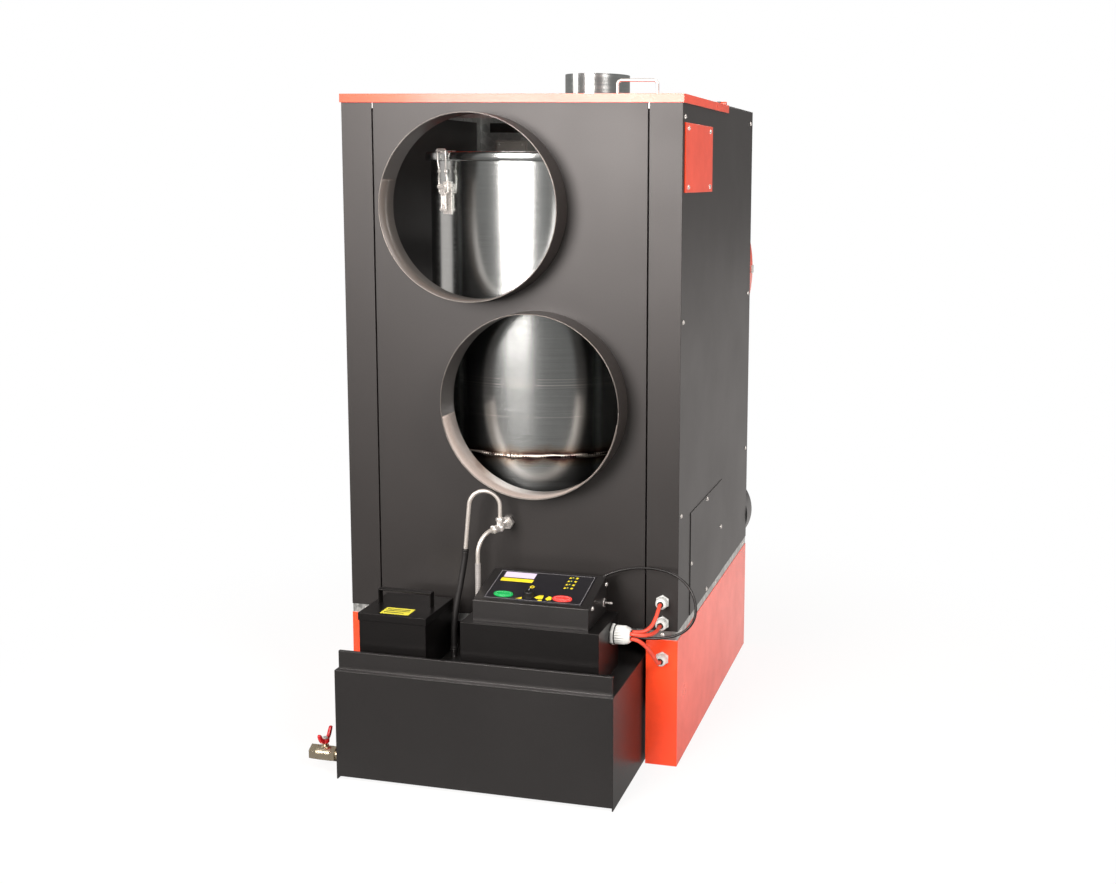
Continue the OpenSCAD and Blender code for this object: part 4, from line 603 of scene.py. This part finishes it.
# Latch bails: one wire, waisted, with a ring eye on each side, from the lever's boss to the hook
LOW, TOP = np.array([9.19, 1101.13]), np.array([14.0, 1187.2])
for side, turn in (("front", LATCH_TURN), ("rear", LATCH_TURN + 180)):
    eye = [(13.2 - 2.6 * math.cos(k * math.pi / 6),
            0.50 + 0.03 * math.sin(k * math.pi / 6)) for k in range(13)]
    half = [(0, 0), (12, 0), (15.2, 0.008), (16, 0.04), (16, 0.25), (15.0, 0.38), (12.0, 0.46)] + eye + [
        (12.4, 0.545), (14.6, 0.66), (16, 0.82), (16, 0.965), (15.2, 0.992), (12, 1), (0, 1)]
    wires = []
    for m in (-1, 1):
        flat = np.array([(m * u, *(LOW + k * (TOP - LOW))) for u, k in half])
        flat[7:20, 1] += np.linspace(-0.9, 0.9, 13)
        path, _ = smooth_path(on_latch(flat, turn), 0.0016)
        wires.append(tube(path, 0.0015, 12))
    bail = mesh_piece(side + "_bail_wire", wires, ZINC_PLATE, side + "_bail")
    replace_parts(bail, side + "_latch_bail")

# Latch levers: a pressed rib down the tail and a rolled bead at each pivot
for side, turn in (("front", LATCH_TURN), ("rear", LATCH_TURN + 180)):
    rib = [(0, 10.6, 1072 + k * 1.6) for k in range(17)]
    swell = [0.4 + 1.7 * math.sin(math.pi * min(1, max(0, k / 16))) ** 0.5 for k in range(17)]
    parts = [tube(on_latch(rib, turn), np.array(swell) * MM, 12)]
    for u in (-7.6, 7.6):
        parts.append(tube(on_latch([(u, 10.2, 1070 + k * 2.1) for k in range(15)], turn), 0.0009, 8))
    mesh_piece(side + "_lever_ribs", parts, ZINC_PLATE, side + "_lever")

# Screws: a dome h = sqrt(R2 - r2) less a cross recess, 1.1 mm deep, that slopes up along its four arms
dome_r, dome_h = 4.5, 3.0
ball = (dome_r ** 2 + dome_h ** 2) / (2 * dome_h)
radii = np.concatenate([np.linspace(0.15, 3.2, 12), np.linspace(3.6, 4.5, 5)])
spin = np.linspace(0, 2 * np.pi, 48, endpoint=False)
rr, aa = radii[::-1, None], spin[None]
arm = np.minimum(np.abs(rr * np.cos(aa)), np.abs(rr * np.sin(aa)))
cut = 0.8 * np.clip((0.6 - arm) / 0.3, 0, 1) * np.clip((2.5 - rr) / 1.4, 0, 1)
height = np.sqrt(ball ** 2 - rr ** 2) - (ball - dome_h) - cut
head = np.stack([rr * np.cos(aa), rr * np.sin(aa) + 0 * height, height], -1).reshape(-1, 3) * MM
head = np.concatenate([np.c_[4.5 * np.cos(spin), 4.5 * np.sin(spin), 0 * spin] * MM, head])
head_faces = grid_faces(18, 48) + capped(18, 48)
screws = []


def screw(x, y, z, out):
    side = UP if abs(out[2]) < 0.5 else RIGHT
    screws.append(turned((head, head_faces), np.array([x, y, z]) * MM, side, out))


for m in (-1, 1):
    for share_y, share_z in ((0.027, 0.962), (0.027, 0.587), (0.027, 0.22), (0.966, 0.975), (0.966, 0.587),
                             (0.966, 0.22)):
        screw(m * CASING_SIDE, -CASING_BACK + share_y * 2 * CASING_BACK, CASING_FOOT + share_z * CASING_RISE,
              (m, 0, 0))
    for share_y in (-0.91, 0, 0.91):
        screw(m * (CASING_SIDE - 1), share_y * CASING_BACK, 263, (m, 0, 0))
    screw(m * 0.91 * CASING_SIDE, 1 - CASING_BACK, 263, AHEAD)
    screw(m * 0.97 * CASING_SIDE, CASING_BACK - 1, 263, BACK)
    for share_z in (0.18, 0.5, 0.97):
        screw(m * 327.5, CASING_BACK, CASING_FOOT + share_z * CASING_RISE, BACK)
    screw(m * 315, 325, 1290, UP)
    screw(341.5, -103 + m * 142.5, 377.5, RIGHT)
    screw(341.5, -103, 377.5 + m * 97, RIGHT)
    for y in (-309, -122):
        screw(342, y, 1174.5 + m * 54.5, RIGHT)
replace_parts(mesh_piece("recessed_screws", screws, ZINC_PLATE, "casing"), "casing_screws")


# Cable glands: hexagon base, black seal, nut with 18 grip ribs, rounded end
def gland(at, out, s, ribs, bore=None):
    r0, h0, r1, h1, r2, h2 = (k * MM for k in s)
    base = hexagon(r0, [(0.5, 0, 0), (0.97, 0.0003, 0.4), (1, 0.0008, 1), (1, h0 - 0.001, 1),
                        (0.97, h0 - 0.0002, 0.4)])
    z1, z2, z3 = h0, h0 + h1, h0 + h1 + h2
    rows = [(r2, z1), (r1 * 0.985, z1 + 0.0006), (r1, z1 + 0.0016), (r1, z1 + h1 * 0.5), (r1, z2 - 0.0018),
            (r1 * 0.975, z2 - 0.0006), (r1 * 0.955, z2), (r1 * 0.93, z2 + 0.2 * h2),
            ((r1 + r2) / 2, z2 + 0.66 * h2), (r2 * 1.04, z2 + 0.9 * h2), (r2, z3)]
    inner = [(r2 * 0.8, z3), (bore or r2 * 0.72, z3 - 0.0012)]
    inner += [(bore, 0.0)] if bore else [(r2 * 0.7, z2)]

    def wave(row, a):
        rib = 0.5 + 0.5 * np.cos(a * ribs)
        on = np.array([0, 0.4, 1, 1, 1, 0.6, 0.2] + [0] * 8)[row]
        return 1 - 0.085 * on * np.clip(rib * 1.6 - 0.3, 0, 1)
    if bore:
        base = lathe([(r0 * 0.9, 0.0001), (r0 * 0.98, 0.0006), (r0 * 0.98, h0 - 0.0006), (r0 * 0.9, h0),
                      (bore, h0), (bore, 0.0001)], 72, None, True)
        nut = lathe(rows + inner, 144, wave, True)
    else:
        nut = lathe(rows + inner, 144, wave)
    side = UP if abs(out[2]) < 0.5 else RIGHT
    return [turned(base, at, side, out), turned(nut, at, side, out)]


BIG, SMALL = (20.8, 7, 17.5, 21, 12, 9), (13.9, 5, 11.5, 10, 7.5, 5)
parts = gland((0.234, -0.436, 0.289), RIGHT, BIG, 22)
for z in GLAND_HEIGHTS:
    parts += gland((0.310, -0.350, z), AHEAD, SMALL, 18)
parts += gland((-0.290, 0.350, 0.330), BACK, SMALL, 18, 0.005)
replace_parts(mesh_piece("gland_mouldings", parts, POLYAMIDE, "casing"), "cable_glands")

# Black seals: two under the big gland's nut, one bush inside each small one
seals = []
for x, rad in ((0.2345, 0.0196), (0.2418, 0.0182)):
    ringlet = [(rad + 0.0008 * math.cos(k), 0.0011 * math.sin(k)) for k in ring_b]
    seals.append(turned(lathe(ringlet, 72, None, True), (x, -0.436, 0.289), UP, RIGHT))
for z in GLAND_HEIGHTS:
    bush = [(0.0060, 0), (0.0062, 0.0009), (0.0046, 0.0012), (0.0042, 0.0004)]
    seals.append(turned(lathe(bush, 48, None, True), (0.310, -0.3698, z), UP, AHEAD))
grommet = [(0.0062, 0), (0.0064, 0.0010), (0.0050, 0.0022), (0.0036, 0.0024), (0.0026, 0.0030), (0.0026, 0)]
seals.append(turned(lathe(grommet, 48, None, True), (0.190, -0.394, 0.372), UP, BACK))
mesh_piece("rubber_seals", seals, HOSE, "casing")

# Knob: 24 grip ribs on a skirted body, with a raised pointer that carries a white line
def grip(row, a):
    on = np.array([0, 0, 0, 0.5, 1, 1, 1, 0.4, 0, 0, 0])[row]
    return 1 - 0.05 * on * (0.5 + 0.5 * np.cos(a * 24)) ** 2


body = [(3, -14), (3, 1.1), (9.6, 1.1), (10, 1.8), (9.3, 2.6), (9.0, 4), (8.7, 10), (8.2, 12.2),
        (7.4, 13.0), (6.6, 13.1), (0.4, 13.1)]
knob = lathe(np.array(body) * MM, 192, grip)
pointer = layers(rounded((-0.0015, 0.0015), (0.0, 0.0086), 0.0012),
                 [(0, 0.0129), (0, 0.0140), (0.0004, 0.0143)], (0, 0.0043))
obj = mesh_piece("ribbed_knob", [on_slope(knob, DIAL_X, DIAL_Y), on_slope(pointer, DIAL_X, DIAL_Y)], KNOB,
                 "knob")
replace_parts(obj, "power_knob")
line = layers(rounded((-0.0004, 0.0004), (0.001, 0.0078), 0.0003), [(0, 0.01420), (0, 0.01435)], (0, 0.0044))
mesh_piece("knob_line", [on_slope(line, DIAL_X, DIAL_Y)], INK_WHITE, "knob")

# Buttons: an oval crown z = h(1 - q4) inside a rolled rim
for x, mat, body_name, node, slot in ((START_X, GREEN, "start", "start_button", "green plastic"),
                                      (STOP_X, STOP_RED, "stop", "stop_button", "red plastic")):
    steps = [(0, -0.008), (0, 0.0022), (0.0003, 0.0029), (0.0010, 0.0033), (0.0017, 0.0032), (0.0021, 0.0027),
             (0.0026, 0.0026)]
    steps += [(0.0026 + q * 0.0062, 0.0026 + 0.0007 * (1 - (1 - q) ** 4))
              for q in (0.15, 0.35, 0.6, 0.85, 1.0)]
    outline = ellipse(0.019, 0.009)
    obj = mesh_piece(node.replace("button", "cap"), [on_slope(layers(outline, steps), x, DIAL_Y)], mat,
                     body_name)
    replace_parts(obj, node)
    ring = [(0.0044, 0.00318), (0.0043, 0.00335), (0.0050, 0.00338), (0.0051, 0.0032)]
    size = np.linalg.norm(outline, axis=1)[:, None]
    pts = np.concatenate([np.c_[outline * (size - inset) / size, np.full(64, z)] for inset, z in ring])
    join = [[192 + k, 192 + (k + 1) % 64, (k + 1) % 64, k] for k in range(64)]
    mesh_piece(node + "_print", [on_slope((pts, grid_faces(4, 64) + join), x, DIAL_Y)],
               INK_GREEN if x == START_X else INK_ROSE, body_name)


# Printed marks on the film: flat closed outlines, 0.06 mm thick
def mark(outline, x=0.0, y=0.0, z=0.80, centre=None):
    outline = np.asarray(outline, float) * MM
    mid = outline.mean(0) if centre is None else np.asarray(centre) * MM
    return on_slope(layers(outline, [(0, 0), (0, 0.00006)], mid), x, y, z)


def ring_mark(r0, r1, x, y, start=0.0, end=2 * math.pi, n=40):
    """A ring or part of one between two radii, as short four-sided stretches."""
    w = np.linspace(start, end, n)
    out = []
    for a, b in zip(w[:-1], w[1:]):
        out.append(mark([(r1 * math.cos(a), r1 * math.sin(a)), (r1 * math.cos(b), r1 * math.sin(b)),
                         (r0 * math.cos(b), r0 * math.sin(b)), (r0 * math.cos(a), r0 * math.sin(a))], x, y))
    return out


frame_marks = [mark(rounded(x, y, 0.25)) for x, y in (
    ((18.5, 204.5), (12.3, 13.1)), ((18.5, 204.5), (107.9, 108.7)), ((18.5, 19.3), (12.3, 108.7)),
    ((203.7, 204.5), (12.3, 108.7)))]
mesh_piece("panel_border", frame_marks, INK_GREY, "casing", False)
yellow = ring_mark(2.4, 4.6, 96.4, 58.4)
yellow += [mark([(78, 16), (90, 16), (88.5, 23), (84.5, 19)]),
           mark([(112, 24), (118, 20), (129, 21), (128, 33), (119, 32)]),
           mark([(121, 14), (128, 14), (130, 18), (123, 18)]),
           mark([(134, 22), (140, 17), (146, 21), (144, 30), (138, 32)]),
           mark([(27, 72), (91, 72), (91, 83), (27, 83)])]
for k, y in enumerate(LAMP_HEIGHTS):
    yellow += [mark([(-2.2, -2.6), (2.4, -2.2), (1.6, 2.6), (-1.4, 1.8 - 0.3 * k)], 158.4, y)]
    yellow += [mark([(-2.8, -2.0), (2.0, -2.6), (2.6, 2.2), (-1.8, 2.8)], 158.4 + 13.5, y)]
mesh_piece("panel_print_yellow", yellow, INK_YELLOW, "casing", False)
mesh_piece("panel_print_pale", [mark([(29, 86), (90, 86), (90, 105), (29, 105)])], INK_LILAC, "casing",
           False)
lens = [(2.3, -1), (2.3, 0.6), (2.1, 1.3), (1.5, 1.8), (0.8, 2.05), (0.2, 2.1)]
mesh_piece("lamp_lenses", [on_slope(lathe(np.array(lens) * MM, 32), 164, y, 0) for y in LAMP_HEIGHTS],
           LAMP, "casing")

# Filler lid's label: a film with rounded corners and a plain dark bar pattern
label = layers(rounded((-0.200, -0.142), (-0.511, -0.477), 0.002), [(0, 0.3170), (0.0002, 0.3172)],
               (-0.171, -0.494))
mesh_piece("lid_label", [label], LABEL, "filler_cover", False)
bars = [layers(rounded((-0.195, -0.195 + w), (y, y + 0.0032), 0.0004), [(0, 0.31718), (0, 0.31726)],
               (-0.195 + w / 2, y + 0.0016))
        for y, w in ((-0.4870, 0.046), (-0.4945, 0.048), (-0.5040, 0.040))]
mesh_piece("lid_label_bars", bars, INK_DARK, "filler_cover", False)

# Control box's right side: two screws, the toggle's hexagon nut and its washer
parts = [turned((head, head_faces), (0.210, y, z), UP, RIGHT) for y, z in ((-0.482, 0.351), (-0.393, 0.3695))]
nut = hexagon(0.0092, [(0.78, 0, 0), (1, 0.0002, 0.5), (1, 0.0006, 1), (1, 0.0018, 1), (0.97, 0.0022, 0.4),
                       (0.78, 0.0022, 0)])
parts.append(turned(nut, (0.2101, -0.40982, 0.339), UP, RIGHT))
mesh_piece("control_box_screws", parts, ZINC_PLATE, "casing")

# Rubber cuffs where steel meets hose: a short sleeve with two pressed grooves, on the pipe's end and on the
# tray's tail
cuff = [(4.2, 0), (6.3, 0.5), (6.5, 1.2), (6.5, 3.6), (6.1, 4.2), (6.1, 5.2), (6.5, 5.8), (6.5, 8),
        (6.1, 9.4), (4.4, 10.4)]
lean = np.array([0.0858, 0.0151, 0.9962])
parts = [turned(lathe(np.array(cuff) * MM, 48), PIPE_END * MM - lean * 0.006, RIGHT, lean),
         turned(lathe(np.array(cuff) * MM * (1.05, 0.8), 48), (-0.085, -0.430, 0.2265), RIGHT, UP)]
mesh_piece("hose_cuffs", parts, HOSE, "casing")

# Union nuts on the tee's two pipe ends
parts = []
union = [(0.7, 0, 0), (1, 0.0004, 0.5), (1, 0.001, 1), (1, 0.0062, 1), (0.96, 0.0070, 0.4), (0.6, 0.0074, 0)]
out = np.array([-0.025, -0.052, 0]) / math.hypot(0.025, 0.052)
for way in (np.array(UP), out):
    parts.append(turned(hexagon(0.0086, union), np.array([-0.003, -0.394, 0.465]) + way * 0.0128,
                        (0.3, 1, 0.2), way))
mesh_piece("pipe_fittings", parts, ZINC_PLATE, "casing")

# Drain valve's handle: a butterfly of two rounded wings around a hub, dipped in vinyl
wing = [(-8, 21), (8, 21), (12, 23), (16, 26), (20, 31), (23.6, 38), (24.8, 43), (23, 44.8), (20, 44.4),
        (17, 41), (14, 36.5), (11, 32), (7, 29), (0, 28), (-7, 29), (-11, 32), (-14, 36.5), (-17, 41),
        (-20, 44.4), (-23, 44.8), (-24.8, 43), (-23.6, 38), (-20, 31), (-16, 26), (-12, 23)]
closed = np.array(wing + wing[:1], float)
dense, _ = smooth_path(np.c_[closed, np.zeros(len(closed))] * MM, 0.0012)
dense = dense[:-1, :2]
edge = np.roll(dense, -1, 0) - np.roll(dense, 1, 0)
inward = np.c_[-edge[:, 1], edge[:, 0]] / np.linalg.norm(edge, axis=1)[:, None]
rows = [np.c_[dense + inward * inset, np.full(len(dense), z)] for inset, z in (
    (0.0014, -0.0030), (0.0005, -0.0027), (0, -0.0018), (0, 0.0018), (0.0005, 0.0027), (0.0014, 0.0030))]
plate = (np.concatenate(rows), grid_faces(6, len(dense)) + capped(6, len(dense)))
hub = lathe(np.array([(4.2, 20.6), (7.4, 21), (8, 21.8), (8, 27), (7.2, 28), (4, 28.2)]) * MM, 48)
parts = [turned(plate, (VALVE_X, VALVE_Y, 0.035), BACK, RIGHT),
         turned(hub, (VALVE_X, VALVE_Y, 0.035), RIGHT, UP)]
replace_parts(mesh_piece("butterfly_handle", parts, DIPPED_RED, "drain_plug"), "drain_valve_handle")
top_nut = hexagon(0.0056, [(0.7, 0, 0), (1, 0.0003, 0.5), (1, 0.0008, 1), (1, 0.0030, 1),
                           (0.95, 0.0035, 0.3), (0.5, 0.0037, 0)])
mesh_piece("valve_top_nut", [turned(top_nut, (VALVE_X, VALVE_Y, 0.0632), RIGHT, UP)], ZINC_PLATE,
           "drain_plug")

# Rear: rolled edges on the fan ring, cooling fins on the fan motor, a rolled inlet and six screws on the
# blower
ring_r = np.linspace(0, 2 * np.pi, 14, endpoint=False)
rim = [(0.3312 + 0.0024 * math.cos(k), 0.0024 * math.sin(k)) for k in ring_r]
mesh_piece("fan_ring_rim", [turned(lathe(rim, 160, None, True), (0, 0.4082, FAN_Z), RIGHT, BACK)],
           RED_ENAMEL, "casing")
fins = []
for k in range(24):
    a = 2 * math.pi * k / 24
    way = np.array([math.cos(a), 0, math.sin(a)])
    slab = layers(rounded((-0.0011, 0.0011), (0.0, 0.0255), 0.0009),
                  [(0, 0), (0, 0.0042), (0.0003, 0.0048)], (0, 0.0128))
    fins.append(turned(slab, np.array([0, 0.4065, FAN_Z]) + way * 0.0472, np.cross(AHEAD, way), way))
mesh_piece("fan_motor_fins", fins, MOTOR_PAINT, "casing")
roll = [(0.0412 + 0.0019 * math.cos(k), 0.0019 * math.sin(k)) for k in ring_r]
parts = [turned(lathe(roll, 96, None, True), (BLOWER_X, 0.4104, BLOWER_Z), RIGHT, BACK)]
mesh_piece("blower_inlet_roll", parts, MOTOR_PAINT, "casing")
small = (head * 0.7, head_faces)
parts = [turned(small, (BLOWER_X + 0.084 * math.cos(a), 0.410, BLOWER_Z + 0.084 * math.sin(a)), UP, BACK)
         for a in np.linspace(0.3, 0.3 + 2 * np.pi, 6, endpoint=False)]
parts += [turned(small, (m * 0.030, 0.4128, FAN_Z + n * 0.030), UP, BACK) for m in (-1, 1) for n in (-1, 1)]
mesh_piece("rear_screws", parts, ZINC_PLATE, "casing")

# Terminal box: a raised lid with four corner screws
lid = layers(rounded((-0.036, 0.036), (-0.042, 0.042), 0.005),
             [(0, 0), (0, 0.0040), (0.0008, 0.0052), (0.003, 0.0056)])
BOX_X, BOX_Z = -0.237, 1.174
parts = [turned(lid, (BOX_X, 0.2938, BOX_Z), RIGHT, AHEAD)]
mesh_piece("terminal_box_lid", parts, GREY_ABS, "casing")
parts = [turned(small, (BOX_X + m * 0.030, 0.2884, BOX_Z + n * 0.036), UP, AHEAD)
         for m in (-1, 1) for n in (-1, 1)]
mesh_piece("terminal_box_screws", parts, ZINC_PLATE, "casing")


def stage():
    """A pale floor and a white surround, bright behind the object and dim in front of it, with soft lamps."""
    mat, tree, shader, place = begin("pale_floor", **{"Base Color": linear("#EDEDEB"), "Roughness": 0.9})
    ray = add(tree, "LightPath")
    where = add(tree, "SeparateXYZ", {"Vector": place})
    span = add(tree, "VectorMath", {0: place}, operation="LENGTH")
    far = add(tree, "MapRange", {"Value": span.outputs[1], "From Min": 0.5, "From Max": 1.4, "To Min": 0.86,
                                 "To Max": 1.0}, interpolation_type="SMOOTHSTEP")
    seen = add(tree, "Math", {0: ray.outputs["Is Camera Ray"], 1: far.outputs[0]}, operation="MULTIPLY")
    share = add(tree, "Math", {0: seen.outputs[0], 1: ray.outputs["Is Glossy Ray"]}, operation="MAXIMUM")
    behind = add(tree, "MapRange",
                 {"Value": where.outputs[1], "From Min": -0.9, "From Max": 0.6, "To Min": 0.2, "To Max": 0.9})
    level = add(tree, "Mix", {0: ray.outputs["Is Camera Ray"], 2: behind.outputs[0], 3: 1.0},
                data_type="FLOAT")
    tint = add(tree, "Mix", {0: ray.outputs["Is Camera Ray"], 6: (1, 0.95, 0.92, 1), 7: (1, 1, 1, 1)},
               data_type="RGBA")
    white = add(tree, "Emission", {"Color": tint.outputs[2], "Strength": level.outputs[0]})
    mix = add(tree, "MixShader", {0: share.outputs[0], 1: shader.outputs[0], 2: white.outputs[0]})
    out = next(n for n in tree.nodes if n.bl_idname == "ShaderNodeOutputMaterial")
    tree.links.new(mix.outputs[0], out.inputs["Surface"])
    s = 14.0
    data = bpy.data.meshes.new("floor")
    data.from_pydata([(-s, -s, -0.0006), (s, -s, -0.0006), (s, s, -0.0006), (-s, s, -0.0006)], [],
                     [(0, 1, 2, 3)])
    data.materials.append(mat)
    floor = bpy.data.objects.new("floor", data)
    bpy.context.scene.collection.objects.link(floor)

    world = bpy.data.worlds.new("surroundings")
    bpy.context.scene.world = world
    world.use_nodes = True
    tree = world.node_tree
    tree.nodes.clear()
    ray = add(tree, "LightPath")
    seen = add(tree, "Math", {0: ray.outputs["Is Camera Ray"], 1: ray.outputs["Is Transmission Ray"]},
               operation="MAXIMUM")
    dim = add(tree, "Background", {"Color": (1.0, 0.96, 0.93, 1), "Strength": 0.3})
    full = add(tree, "Background", {"Color": (1, 1, 1, 1), "Strength": 1.0})
    mix = add(tree, "MixShader", {0: seen.outputs[0], 1: dim.outputs[0], 2: full.outputs[0]})
    add(tree, "OutputWorld", {"Surface": mix.outputs[0]})

    for name, at, aim, size, power in (
        ("front_softbox", (-0.70, -3.2, 1.62), (-0.1, -0.35, 1.22), (1.5, 1.5), 136),
        ("top_softbox", (0.2, -2.3, 3.3), (0, -0.35, 0.6), (1.4, 1.0), 30),
        ("right_softbox", (2.9, -2.7, 3.0), (0, 0, 0.8), (1.2, 1.2), 150),
        ("left_softbox", (-3.6, -1.2, 2.4), (0, 0, 0.8), (1.4, 1.8), 45),
        ("rear_softbox", (0.4, 3.6, 3.0), (0, 0, 0.8), (2.0, 1.4), 60),
        ("bounce_left_of_drum", (-0.332, -0.235, 1.05), (0.5, -0.235, 1.05), (0.09, 0.36), 0.07),
        ("bounce_over_drum", (0.0, -0.02, 1.236), (-0.1, 0.34, 1.09), (0.4, 0.09), 0.28),
    ):
        lamp = bpy.data.lights.new(name, "AREA")
        lamp.color = (1.0, 0.92, 0.885)
        lamp.shape, lamp.size, lamp.size_y, lamp.energy = "RECTANGLE", *size, power
        obj = bpy.data.objects.new(name, lamp)
        obj.visible_camera = False
        z = np.array(at) - np.array(aim)
        z = z / np.linalg.norm(z)
        x = np.cross([0, 0, 1], z)
        x /= np.linalg.norm(x)
        y = np.cross(z, x)
        m = Matrix.Identity(4)
        for i in range(3):
            m[i][0], m[i][1], m[i][2], m[i][3] = x[i], y[i], z[i], at[i]
        obj.matrix_world = m
        bpy.context.scene.collection.objects.link(obj)


stage()
bpy.context.scene.view_settings.view_transform = "Standard"
